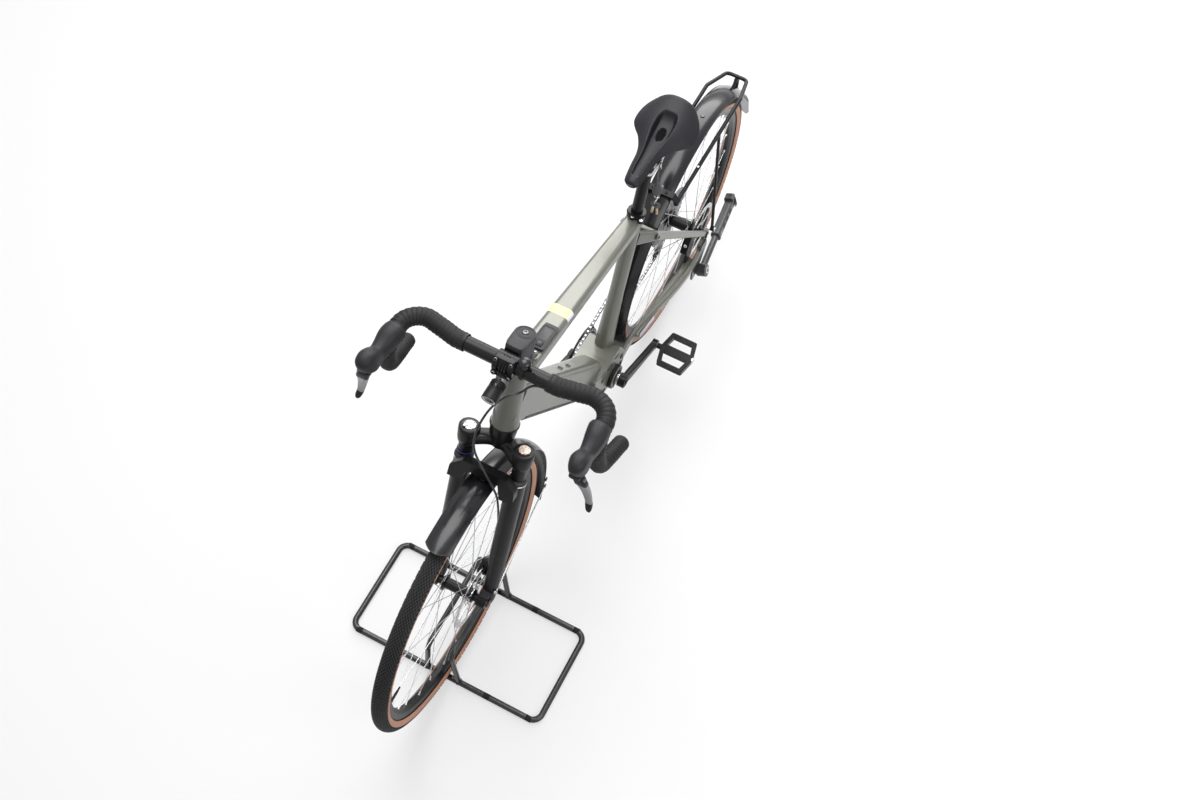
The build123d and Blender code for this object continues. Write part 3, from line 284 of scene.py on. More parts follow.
RUBBER = Finish("grip_rubber", (0.010, 0.010, 0.011), 0.7, 0.0, Grain.PEBBLE, 0.12, 0.0, 0.2)
HOOD_RUBBER = Finish("hood_rubber", (0.013, 0.013, 0.015), 0.5, 0.0, Grain.PEBBLE, 0.12, 0.0, 0.24)
TAPE = Finish("wound_tape", (0.009, 0.009, 0.010), 0.58, 0.0, Grain.PEBBLE, 0.25, 0.0, 0.22)
HOSE = Finish("hose_rubber", (0.014, 0.014, 0.015), 0.34, 0.0, Grain.FINE, 0.1)
# Casing and knobs are one rubber: the casing and grooves are painted darker as painted shade, the
# knobs lighter as painted light.
TREAD_SHADE = Finish("tread_groove_shade", (0.012, 0.012, 0.012), 0.8, 0.0, Grain.PEBBLE, 0.2, 0.0, 0.15)
KNOB_LIGHT = Finish("tread_knob_lit", (0.046, 0.046, 0.049), 0.62, 0.0, Grain.PEBBLE, 0.25, 0.0, 0.25)
TAN_WALL = Finish("tan_sidewall", (0.49, 0.250, 0.165), 0.62, 0.0, Grain.CORD, 0.1, 0.0, 0.3)
SADDLE_COVER = Finish(
    "saddle_vinyl", (0.010, 0.010, 0.013), 0.42, 0.0, Grain.LEATHER, 0.15, 0.0, 0.24
)
# Dark, dull finish for the saddle's opening: painted shade where the opening is left uncut.
HOLE_SHADE = Finish("saddle_hole_shade", (0.007, 0.007, 0.007), 0.9, 0.0, Grain.PEBBLE, 0.1, 0.0, 0.03)
# Thin piping; its grey, lighter than the cover, is a painted highlight along the channel's rims.
PIPING_HIGHLIGHT = Finish("saddle_piping_highlight", (0.028, 0.028, 0.031), 0.4, 0.0, Grain.FINE, 0.1)
STEEL = Finish("bright_steel", (0.56, 0.56, 0.57), 0.26, 1.0, Grain.BRUSHED, 0.08)
DARK_STEEL = Finish("dark_steel", (0.15, 0.15, 0.16), 0.34, 0.9, Grain.BRUSHED, 0.15)
ALLOY = Finish("bare_alloy", (0.60, 0.60, 0.60), 0.34, 0.9, Grain.BRUSHED, 0.06)
LEVER = Finish("lever_alloy", (0.24, 0.24, 0.25), 0.38, 0.85, Grain.BRUSHED, 0.08)
CAP_SILVER = Finish("cap_silver", (0.62, 0.62, 0.63), 0.24, 1.0, Grain.BRUSHED, 0.05)
COPPER = Finish("copper_knob", (0.66, 0.54, 0.47), 0.24, 0.95, Grain.BRUSHED, 0.1)
BRASS = Finish("key_brass", (0.66, 0.54, 0.36), 0.34, 1.0, Grain.BRUSHED, 0.1)
FOB = Finish("key_fob", (0.085, 0.085, 0.09), 0.6, 0.0, Grain.PEBBLE, 0.1)
SEAL = Finish("wiper_seal", (0.014, 0.014, 0.015), 0.55, 0.0, Grain.FINE, 0.1)
BLUE_RING = Finish("travel_ring", (0.02, 0.035, 0.24), 0.4, 0.0, Grain.FINE, 0.08)
YELLOW_LABEL = Finish("yellow_label", (0.80, 0.79, 0.30), 0.42, 0.0, Grain.SMOOTH, 0.05)
WHITE_LABEL = Finish("white_label", (0.72, 0.72, 0.84), 0.35, 0.0, Grain.SMOOTH, 0.04)
PALE_LABEL = Finish("pale_label", (0.46, 0.50, 0.62), 0.28, 0.3, Grain.SMOOTH, 0.06)
PALE_RING = Finish("lamp_bezel", (0.72, 0.73, 0.74), 0.3, 0.2, Grain.FINE, 0.04)
LENS = Finish("lamp_lens", (0.09, 0.095, 0.10), 0.08, 0.6, Grain.FACETS, 0.1)
SCREEN = Finish("dark_screen", (0.012, 0.012, 0.013), 0.4, 0.0, Grain.SMOOTH, 0.2, 0.0, 0.4)
KICK_METAL = Finish("kickstand_grey", (0.055, 0.055, 0.058), 0.3, 0.3, Grain.FINE, 0.1)
STAND_PAINT = Finish("stand_paint", (0.010, 0.010, 0.010), 0.26, 0.0, Grain.PEEL, 0.2, 0.0, 0.5)


@dataclass(frozen=True)
class ClearFlap:
    """Thin smoky plastic that lets light through.

    Attributes:
        name: material name.
        colour: base colour, linear.
    """

    name: str = "clear_flap"
    colour: Colour = (0.62, 0.63, 0.62)

    def material(self) -> bpy.types.Material:
        """Builds the material once and returns it."""
        label = f"{self.name}_finish"
        ready = bpy.data.materials.get(label)
        if ready:
            return ready
        dress = Dress(label)
        cloud = dress.noise(30.0, 4.0)
        dress.set(
            Base_Color=dress.blend(cloud, self.colour, tuple(c * 0.9 for c in self.colour)),
            Roughness=0.3 + cloud * 0.15,
            Alpha=0.62 + cloud * 0.12,
        )
        dress.bump(dress.noise(160.0, 2.0), 0.00015)
        return dress.material


FLAP = ClearFlap()


# ---------------------------------------------------------------- studio
@dataclass
class Studio:
    """Floor, light and camera.

    Attributes:
        eye: camera place, in metres.
        look: camera direction.
        right: direction of the camera's right-hand side.
        lens: focal length in millimetres on a 36 mm sensor.
        floor_colour: colour of the floor.
        floor_size: side of the floor, in metres.
        floor_glow: how far the floor fades to white for the camera.
        fill: light from all sides.
        aim: height that the lamps point at, in metres.
        lamps: place, size and power of each soft lamp.
    """

    eye: Colour = (1.4866, 0.6837, 3.4585)
    look: Colour = (-0.42524006, -0.1780027, -0.88740404)
    right: Colour = (-0.45826901, 0.88784372, 0.04150958)
    lens: float = 43.614
    floor_colour: Colour = (0.80, 0.80, 0.81)
    floor_size: float = 60.0
    floor_glow: float = 0.55
    fill: float = 0.30
    aim: float = 0.4
    lamps: list[tuple[Colour, float, float]] = field(
        default_factory=lambda: [
            ((1.0, 2.6, 2.6), 2.0, 40.0),
            ((-3.3, -0.7, 2.3), 2.6, 120.0),
            ((-0.5, -0.6, 3.5), 2.2, 92.0),
        ]
    )

    def camera(self) -> None:
        """Places the camera."""
        data = bpy.data.cameras.new("camera")
        data.lens = self.lens
        data.sensor_width = 36.0
        data.clip_end = 100.0
        eye = bpy.data.objects.new("camera", data)
        look, right = Vector(self.look).normalized(), Vector(self.right).normalized()
        up = right.cross(look)
        turn = Matrix((right, up, -look)).transposed().to_4x4()
        eye.matrix_world = Matrix.Translation(self.eye) @ turn
        bpy.context.scene.collection.objects.link(eye)
        bpy.context.scene.camera = eye

    def lights(self) -> None:
        """Hangs soft lamps around and above."""
        for number, (where, size, power) in enumerate(self.lamps):
            data = bpy.data.lights.new(f"softbox_{number}", "AREA")
            data.size = size
            data.energy = power
            lamp = bpy.data.objects.new(f"softbox_{number}", data)
            lamp.location = where
            ray = Vector((0, 0, self.aim)) - Vector(where)
            lamp.rotation_euler = ray.to_track_quat("-Z", "Y").to_euler()
            bpy.context.scene.collection.objects.link(lamp)

    def world(self) -> None:
        """Lights from all sides, with a white background for the camera and for gloss."""
        world = bpy.data.worlds.new("studio")
        bpy.context.scene.world = world
        world.use_nodes = True
        tree = world.node_tree
        tree.nodes.clear()
        path = tree.nodes.new("ShaderNodeLightPath")
        seen, gloss = (tree.nodes.new("ShaderNodeMath") for _ in range(2))
        seen.operation = gloss.operation = "MAXIMUM"
        tree.links.new(path.outputs["Is Camera Ray"], seen.inputs[0])
        tree.links.new(path.outputs["Is Transmission Ray"], seen.inputs[1])
        tree.links.new(seen.outputs[0], gloss.inputs[0])
        tree.links.new(path.outputs["Is Glossy Ray"], gloss.inputs[1])
        plain = tree.nodes.new("ShaderNodeBackground")
        plain.inputs["Strength"].default_value = self.fill
        white = tree.nodes.new("ShaderNodeBackground")
        mix = tree.nodes.new("ShaderNodeMixShader")
        for back in (plain, white):
            back.inputs["Color"].default_value = (1.0, 1.0, 1.0, 1.0)
        tree.links.new(gloss.outputs[0], mix.inputs[0])
        tree.links.new(plain.outputs[0], mix.inputs[1])
        tree.links.new(white.outputs[0], mix.inputs[2])
        out = tree.nodes.new("ShaderNodeOutputWorld")
        tree.links.new(mix.outputs[0], out.inputs[0])

    def floor(self) -> None:
        """Lays a pale floor that keeps the shadow and fades to white."""
        bpy.ops.mesh.primitive_plane_add(size=self.floor_size, location=(0.0, 0.0, -0.0005))
        ground = bpy.context.active_object
        ground.name = "studio_floor"
        dress = Dress("studio_floor")
        dress.set(Base_Color=self.floor_colour, Roughness=0.6)
        dress.shader.inputs["Specular IOR Level"].default_value = 0.2
        path = dress.node("ShaderNodeLightPath", {}, {}, "Is Camera Ray")
        glow = dress.tree.nodes.new("ShaderNodeEmission")
        mix = dress.tree.nodes.new("ShaderNodeMixShader")
        dress.put(mix.inputs[0], path * self.floor_glow)
        dress.tree.links.new(dress.shader.outputs[0], mix.inputs[1])
        dress.tree.links.new(glow.outputs[0], mix.inputs[2])
        dress.tree.links.new(mix.outputs[0], dress.output.inputs["Surface"])
        ground.data.materials.append(dress.material)

    def build(self) -> None:
        """Sets up the whole studio."""
        self.camera()
        self.lights()
        self.world()
        self.floor()
        bpy.context.scene.view_settings.view_transform = "Standard"


# ---------------------------------------------------------------- mesh building, in millimetres
def facing(origin: Vector, z: Vector, x: Vector | None = None) -> Matrix:
    """Frame at a point.

    Args:
        origin: the frame's place.
        z: direction of its z axis.
        x: rough direction of its x axis.
    Returns:
        The frame as a matrix.
    """
    up = Vector(z).normalized()
    guide = x or (LEFT if abs(up.y) < 0.9 else AHEAD)
    across = (guide - up * guide.dot(up)).normalized()
    turn = Matrix((across, up.cross(across), up)).transposed().to_4x4()
    return Matrix.Translation(origin) @ turn


def smooth_step(value: float) -> float:
    """Eases a value from 0 to 1."""
    value = min(1.0, max(0.0, value))
    return value * value * (3 - 2 * value)


def eased(table: Sequence[tuple[float, ...]], place: float) -> list[float]:
    """Reads a table of sizes between its rows along a smooth curve.

    Args:
        table: rows of place and sizes, in rising order of place.
        place: where to read.
    Returns:
        The sizes there.
    """
    last = len(table) - 1
    row = max(0, min(last - 1, sum(1 for r in table if r[0] <= place) - 1))
    before, low, high, after = (table[max(0, min(last, row + k))] for k in (-1, 0, 1, 2))
    span = high[0] - low[0]
    t = min(1.0, max(0.0, (place - low[0]) / span))
    sizes = []
    for i in range(1, len(low)):
        first = (high[i] - before[i]) / (high[0] - before[0]) * span
        second = (after[i] - low[i]) / (after[0] - low[0]) * span
        sizes.append(
            (2 * t**3 - 3 * t**2 + 1) * low[i] + (t**3 - 2 * t**2 + t) * first
            + (3 * t**2 - 2 * t**3) * high[i] + (t**3 - t**2) * second
        )
    return sizes


def rounded_box(across: float, tall: float, radius: float, count: int = 32) -> Outline:
    """Outline of a rectangle with round corners.

    Args:
        across: width.
        tall: height.
        radius: corner radius.
        count: number of points, a multiple of four.
    Returns:
        The points, counted round from the right.
    """
    outline = []
    each = count // 4
    for corner in range(4):
        sx, sy = ((1, 1), (-1, 1), (-1, -1), (1, -1))[corner]
        for k in range(each):
            turn = pi / 2 * (corner + k / (each - 1))
            x = sx * (across / 2 - radius) + radius * cos(turn)
            outline.append((x, sy * (tall / 2 - radius) + radius * sin(turn)))
    return outline


def bent(points: Sequence[Vector], radius: float, step: float = 4.0) -> list[Vector]:
    """Line through points with its corners rounded, sampled evenly enough for a tube.

    Args:
        points: the corners.
        radius: bend radius.
        step: rough distance between samples.
    Returns:
        The samples.
    """
    line = [Vector(points[0])]
    for a, b, c in zip(points, points[1:], points[2:]):
        into, out = (b - a).normalized(), (c - b).normalized()
        half = into.angle(out) / 2
        cut = radius * math.tan(half)
        start = b - into * cut
        centre = b + (out - into).normalized() * (radius / cos(half))
        turns = max(2, int(2 * half * radius / step))
        fill(line, start, step)
        axis = into.cross(out).normalized()
        for k in range(1, turns + 1):
            line.append(centre + Matrix.Rotation(2 * half * k / turns, 3, axis) @ (start - centre))
    fill(line, Vector(points[-1]), step)
    return line


def fill(line: list[Vector], end: Vector, step: float) -> None:
    """Adds evenly spaced points up to end."""
    start = line[-1]
    count = max(1, int((end - start).length / step))
    line.extend(start.lerp(end, k / count) for k in range(1, count + 1))


def upright(turn: float, radius: float, y: float = 0.0) -> Vector:
    """Offset at an angle up from ahead, in the plane of the wheels and y to its left."""
    return Vector((radius * cos(turn), y, radius * sin(turn)))


def circle(place: Matrix, radius: float, steps: int) -> list[Vector]:
    """Closed line round a frame's z axis, with its first point again at the end."""
    turns = (tau * k / steps for k in range(steps + 1))
    return [place @ Vector((radius * cos(t), radius * sin(t), 0)) for t in turns]


def oval(across: float, tall: float, count: int) -> Outline:
    """Outline of an ellipse with the given half sizes."""
    turns = (tau * k / count for k in range(count))
    return [(across * cos(t), tall * sin(t)) for t in turns]


class Shell:
    """Faces gathered in millimetres, to be made into one piece."""

    def __init__(self) -> None:
        """Starts with no faces."""
        self.points: list[Vector] = []
        self.faces: list[tuple[int, ...]] = []
        self.marks: list[int] = []

    def ring(self, points: Iterable[Vector]) -> list[int]:
        """Adds points and returns their numbers."""
        first = len(self.points)
        self.points.extend(Vector(p) for p in points)
        return list(range(first, len(self.points)))

    def face(self, corners: Sequence[int], mark: int = 0) -> None:
        """Adds one face in the finish numbered mark."""
        self.faces.append(tuple(corners))
        self.marks.append(mark)

    def skin(
        self, rings: Sequence[Sequence[Vector]], loop: bool = False, mark: int = 0
    ) -> "Shell":
        """Skins a row of rings.

        Args:
            rings: rings with the same number of points.
            loop: whether the last ring joins the first; if not, the ends are capped.
            mark: which finish the faces take.
        Returns:
            This shell.
        """
        made = [self.ring(r) for r in rings]
        count = len(made[0])
        for a, b in zip(made, made[1:] + made[:1] if loop else made[1:]):
            for i in range(count):
                j = (i + 1) % count
                self.face((a[i], a[j], b[j], b[i]), mark)
        if not loop:
            self.face(made[0][::-1], mark)
            self.face(made[-1], mark)
        return self

    def lathe(
        self, place: Matrix, profile: Outline, sides: int = 24, mark: int = 0,
        hexagon: Sequence[int] = (), loop: bool = False,
    ) -> "Shell":
        """Turns a profile about a frame's z axis.

        Args:
            place: the frame.
            profile: pairs of distance along the axis and radius.
            sides: points round.
            mark: which finish the faces take.
            hexagon: numbers of the profile's rows that are six-sided.
            loop: whether the profile closes on itself.
        Returns:
            This shell.
        """
        rings = []
        for row, (along, radius) in enumerate(profile):
            ring = []
            for k in range(sides):
                turn = tau * k / sides
                reach = radius
                if row in hexagon:
                    bend = (turn + pi / 6) % (pi / 3) - pi / 6
                    reach = radius * cos(pi / 6) / cos(bend)
                ring.append(place @ Vector((reach * cos(turn), reach * sin(turn), along)))
            rings.append(ring)
        return self.skin(rings, loop=loop, mark=mark)

    def tube(
        self, line: Sequence[Vector], radius: float | Sequence[float], sides: int = 12,
        mark: int = 0, shape: Callable[[int, float], float] | None = None,
    ) -> "Shell":
        """Makes a tube along a line.

        Args:
            line: the centre line's points.
            radius: its radius, or one for each point.
            sides: points round.
            mark: which finish the faces take.
            shape: radius added at a point's number and angle round.
        Returns:
            This shell.
        """
        rings = []
        side = None
        for number, point in enumerate(line):
            ahead = line[min(number + 1, len(line) - 1)] - line[max(number - 1, 0)]
            ahead.normalize()
            if side is None:
                side = ahead.orthogonal() if abs(ahead.z) > 0.9 else ahead.cross(UP)
                side.normalize()
            side = (side - ahead * side.dot(ahead)).normalized()
            up = ahead.cross(side)
            base = radius if isinstance(radius, (int, float)) else radius[number]
            ring = []
            for k in range(sides):
                turn = tau * k / sides
                reach = base + (shape(number, turn) if shape else 0.0)
                ring.append(point + (side * cos(turn) + up * sin(turn)) * reach)
            rings.append(ring)
        return self.skin(rings, mark=mark)

    def slab(
        self, place: Matrix, outline: Outline, depth: float, edge: float = 0.6, mark: int = 0
    ) -> "Shell":
        """Raises an outline off a frame's plane, with chamfered edges.

        Args:
            place: the frame.
            outline: its corners.
            depth: how far it rises.
            edge: chamfer.
            mark: which finish the faces take.
        Returns:
            This shell.
        """
        mid = Vector((sum(p[0] for p in outline), sum(p[1] for p in outline))) / len(outline)
        rings = []
        levels = ((0.0, 0.0), (depth - edge, 0.0), (depth - edge * 0.3, edge * 0.3), (depth, edge))
        for height, inset in levels:
            ring = []
            for x, y in outline:
                reach = (Vector((x, y)) - mid).length
                share = (reach - inset) / reach if reach > inset else 0.05
                x, y = mid.x + (x - mid.x) * share, mid.y + (y - mid.y) * share
                ring.append(place @ Vector((x, y, height)))
            rings.append(ring)
        return self.skin(rings, mark=mark)

    def bolt(self, place: Matrix, radius: float, height: float, mark: int = 0) -> "Shell":
        """Adds a socket-head bolt that stands on a frame's plane."""
        hole = radius * 0.55
        profile = (
            (-0.6, radius), (height * 0.75, radius), (height, radius * 0.82), (height, hole),
            (height * 0.3, hole), (height * 0.28, hole * 0.1),
        )
        return self.lathe(place, profile, 24, mark, hexagon=(3, 4))

    def piece(
        self, name: str, body: str, slot: str, finishes: "Finish | Sequence[Finish]",
        sharp: float = 38.0, origin: Vector | None = None, replaces: Sequence[str] = (),
        refine: int = 0,
    ) -> bpy.types.Object:
        """Makes the gathered faces one piece of the bicycle.

        Args:
            name: the piece's name.
            body: the CAD body that it rides on.
            slot: the record's material slot; not used.
            finishes: one finish, or one for each mark.
            sharp: edges bent by more degrees stay crisp.
            origin: the piece's own origin, in millimetres.
            replaces: CAD nodes that it stands for.
            refine: rounds of surface subdivision.
        Returns:
            The piece.
        """
        mesh = bpy.data.meshes.new(name)
        start = Vector(origin) if origin is not None else Vector((0, 0, 0))
        mesh.from_pydata([(p - start) * MM for p in self.points], [], self.faces)
        mesh.polygons.foreach_set("material_index", self.marks)
        work = bmesh.new()
        work.from_mesh(mesh)
        bmesh.ops.recalc_face_normals(work, faces=work.faces)
        work.to_mesh(mesh)
        work.free()
        made = bpy.data.objects.new(name, mesh)
        bpy.context.scene.collection.objects.link(made)
        made.location = start * MM
        for finish in [finishes] if isinstance(finishes, Finish) else finishes:
            mesh.materials.append(finish.material())
        if refine:
            rounds = made.modifiers.new("round", "SUBSURF")
            rounds.levels = rounds.render_levels = refine
            graph = bpy.context.evaluated_depsgraph_get()
            smoothed = bpy.data.meshes.new_from_object(made.evaluated_get(graph))
            made.modifiers.clear()
            made.data = smoothed
        made.data.shade_smooth()
        made.data.set_sharp_from_angle(angle=radians(sharp))
        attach(made, body)
        if replaces:
            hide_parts(*replaces)
        LOG.info("%s: %d faces on %s", name, len(made.data.polygons), body)
        return made


@dataclass
class Places:
    """Where the bicycle's main points are, in millimetres.

    Attributes:
        head_angle: steering axis from the floor, in degrees.
        fork_offset: front axle ahead of the steering axis.
        bar_up: handlebar up the steering axis.
        bar_out: handlebar ahead of the steering axis.
    """

    head_angle: float = 68.6
    fork_offset: float = 54.0
    bar_up: float = 704.8
    bar_out: float = 66.0

    def __post_init__(self) -> None:
        """Finds the axles, the steering axis and the bottom bracket."""
        self.rear_axle = self.middle("rear_tyre")
        self.front_axle = self.middle("front_tyre")
        self.bracket = self.middle("crank_spindle")
        lean = radians(self.head_angle)
        self.steer_up = Vector((-cos(lean), 0, sin(lean)))
        self.steer_out = Vector((sin(lean), 0, cos(lean)))
        self.bar = self.steer(self.bar_up, self.bar_out)

    @staticmethod
    def middle(node: str) -> Vector:
        """Centre of a CAD node's box."""
        low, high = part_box(node)
        return (low + high) / 2 / MM

    def at(self, x: float, y: float, z: float) -> Vector:
        """Point x ahead of the rear axle, y to the left and z above the floor."""
        return Vector((self.rear_axle.x + x, y, z))

    def steer(self, up: float, out: float = 0.0, side: float = 0.0) -> Vector:
        """Point up the steering axis, out ahead of it and to its left."""
        foot = self.front_axle - self.steer_out * self.fork_offset
        return foot + self.steer_up * up + self.steer_out * out + LEFT * side


# ---------------------------------------------------------------- wheels
@dataclass
class Wheel:
    """Tyre, nipples and valve of one wheel, in millimetres.

    Attributes:
        end: which end of the bicycle.
        centre: the axle's middle.
        mid_radius: radius of the tyre's core circle.
        section: radius of the tyre's section at the knobs' tops.
        bead: angle round the section where the tyre meets the rim, in degrees.
        tread: angle round the section where the tread ends, in degrees.
        pitches: knobs round the wheel in each row.
        roll_radius: radius at which the knobs' lengths are measured.
        tan_edge: angle round the section where the tan wall ends at the rim, in degrees.
        nipple_radius: radius at which the nipples leave the rim.
        spokes: number of spokes.
        lace: how far round a spoke leads or trails its place on the hub, in degrees.
    """

    end: str
    centre: Vector
    mid_radius: float = 332.0
    section: float = 19.9
    bead: float = 141.0
    tread: float = 89.0
    pitches: int = 204
    roll_radius: float = 350.0
    tan_edge: float = 131.0
    nipple_radius: float = 295.5
    spokes: int = 28
    lace: float = 52.0

    @property
    def body(self) -> str:
        """CAD body of this wheel."""
        return f"{self.end}_wheel"

    def spot(self, turn: float, across: float, reach: float) -> Vector:
        """Point on the tyre.

        Args:
            turn: angle round the wheel, in radians.
            across: angle round the section from its outermost point, in degrees.
            reach: distance from the section's centre.
        Returns:
            The point.
        """
        phi = radians(across)
        radius = self.mid_radius + reach * cos(phi)
        return self.centre + upright(turn, radius, reach * sin(phi))

    def knob(self, shell: Shell, turn: float, across: float, corners: Outline) -> None:
        """Adds one tread knob.

        Args:
            shell: the tyre.
            turn: its angle round the wheel.
            across: its angle round the section, in degrees.
            corners: offsets of its corners in millimetres round the wheel and degrees across.
        """
        rings = []
        for reach, share in (
            (self.section - 2.6, 1.12), (self.section - 0.3, 1.0), (self.section, 0.86)
        ):
            rings.append([
                self.spot(turn + a * share / self.roll_radius, across + b * share, reach)
                for a, b in corners
            ])
        # Knobs take the lighter finish, painted light on the same rubber.
        shell.skin(rings, mark=2)

    def tyre(self) -> None:
        """Builds the tan-walled tyre with its fine diamond tread, the casing and grooves painted
        darker as painted shade and the knobs lighter as painted light on the same rubber.
        """
        shell = Shell()
        section = [
            (-self.bead, 19.6), (-self.tan_edge, 19.6), (-118, 19.7), (-114, 20.0), (-110, 19.7),
            (-102, 19.4),
        ]
        section += [(-self.tread - 4, 19.2), (-self.tread - 1, 19.3), (-self.tread, 18.2)]
        section += [(k, 17.9) for k in (-75, -60, -45, -30, -15)]
        section += [(0, 17.9)] + [(-a, r) for a, r in reversed(section)]
        steps = 200
        for k in range(steps):
            shell.ring(self.spot(tau * k / steps, a, r) for a, r in section)
        width = len(section)
        for k in range(steps):
            here, there = k * width, (k + 1) % steps * width
            for i in range(width - 1):
                middle = abs(section[i][0] + section[i + 1][0]) / 2
                # Casing faces outside the tan band take the darker finish, painted shade between
                # the knobs.
                tan = self.tread < middle < self.tan_edge
                shell.face((here + i, here + i + 1, there + i + 1, there + i), 1 if tan else 0)
        diamond = ((-4.6, 0), (0, -4.4), (4.6, 0), (0, 4.4))
        for row, across in enumerate(range(-60, 61, 10)):
            for k in range(self.pitches):
                self.knob(shell, tau * (k + 0.5 * (row % 2)) / self.pitches, across, diamond)
        for side in (1, -1):
            shoulder = [
                (a, 4.2 * b * side) for a, b in ((-3.4, -1), (2.2, -1), (3.8, 1), (-1.8, 1))
            ]
            edge = [(a, 3 * b * side) for a, b in ((-2.6, -1), (2.6, -1), (2.0, 1), (-2.0, 1))]
            for k in range(self.pitches // 2):
                turn = tau * 2 * k / self.pitches
                self.knob(shell, turn, 72 * side, shoulder)
                self.knob(shell, turn + 11.0 / self.roll_radius, 74 * side, shoulder)
                self.knob(shell, turn + 5.0 / self.roll_radius, 83 * side, edge)
        shell.piece(
            f"{self.end}_tyre_tread", self.body, "tyre_rubber", (TREAD_SHADE, TAN_WALL, KNOB_LIGHT),
            origin=self.centre, replaces=(f"{self.end}_tyre",),
        )

    def nipples(self) -> None:
        """Builds the spoke nipples, the valve and its collar."""
        shell = Shell()
        nipple = ((-1.0, 2.5), (1.2, 2.5), (2.0, 1.9), (9.0, 1.7), (11.0, 1.2))
        half = self.spokes // 2
        for side in (-1, 1):
            for i in range(half):
                lead = 1 if i % 2 else -1
                turn = tau / half * (i + 0.25 * side) + radians(self.lace * lead)
                end = self.centre + upright(turn, self.nipple_radius, 1.5 * side)
                hub = self.centre + upright(turn - radians(self.lace * lead), 22, 26 * side)
                place = facing(end, hub - end)
                shell.lathe(place, nipple, 10)
        top = facing(self.centre + Vector((self.nipple_radius, 0, 0)), Vector((-1, 0, 0)))
        valve = [(-1, 5.0), (2.2, 5.0), (3.0, 4.0), (3.0, 3.0), (30, 3.0), (31, 2.4), (39, 2.2)]
        shell.lathe(top, valve + [(40, 1.6)], 16, 1)
        shell.piece(f"{self.end}_nipples", self.body, "steel", (STEEL, BLACK_PLASTIC))

    def build(self) -> None:
        """Builds the wheel's pieces."""
        self.tyre()
        self.nipples()


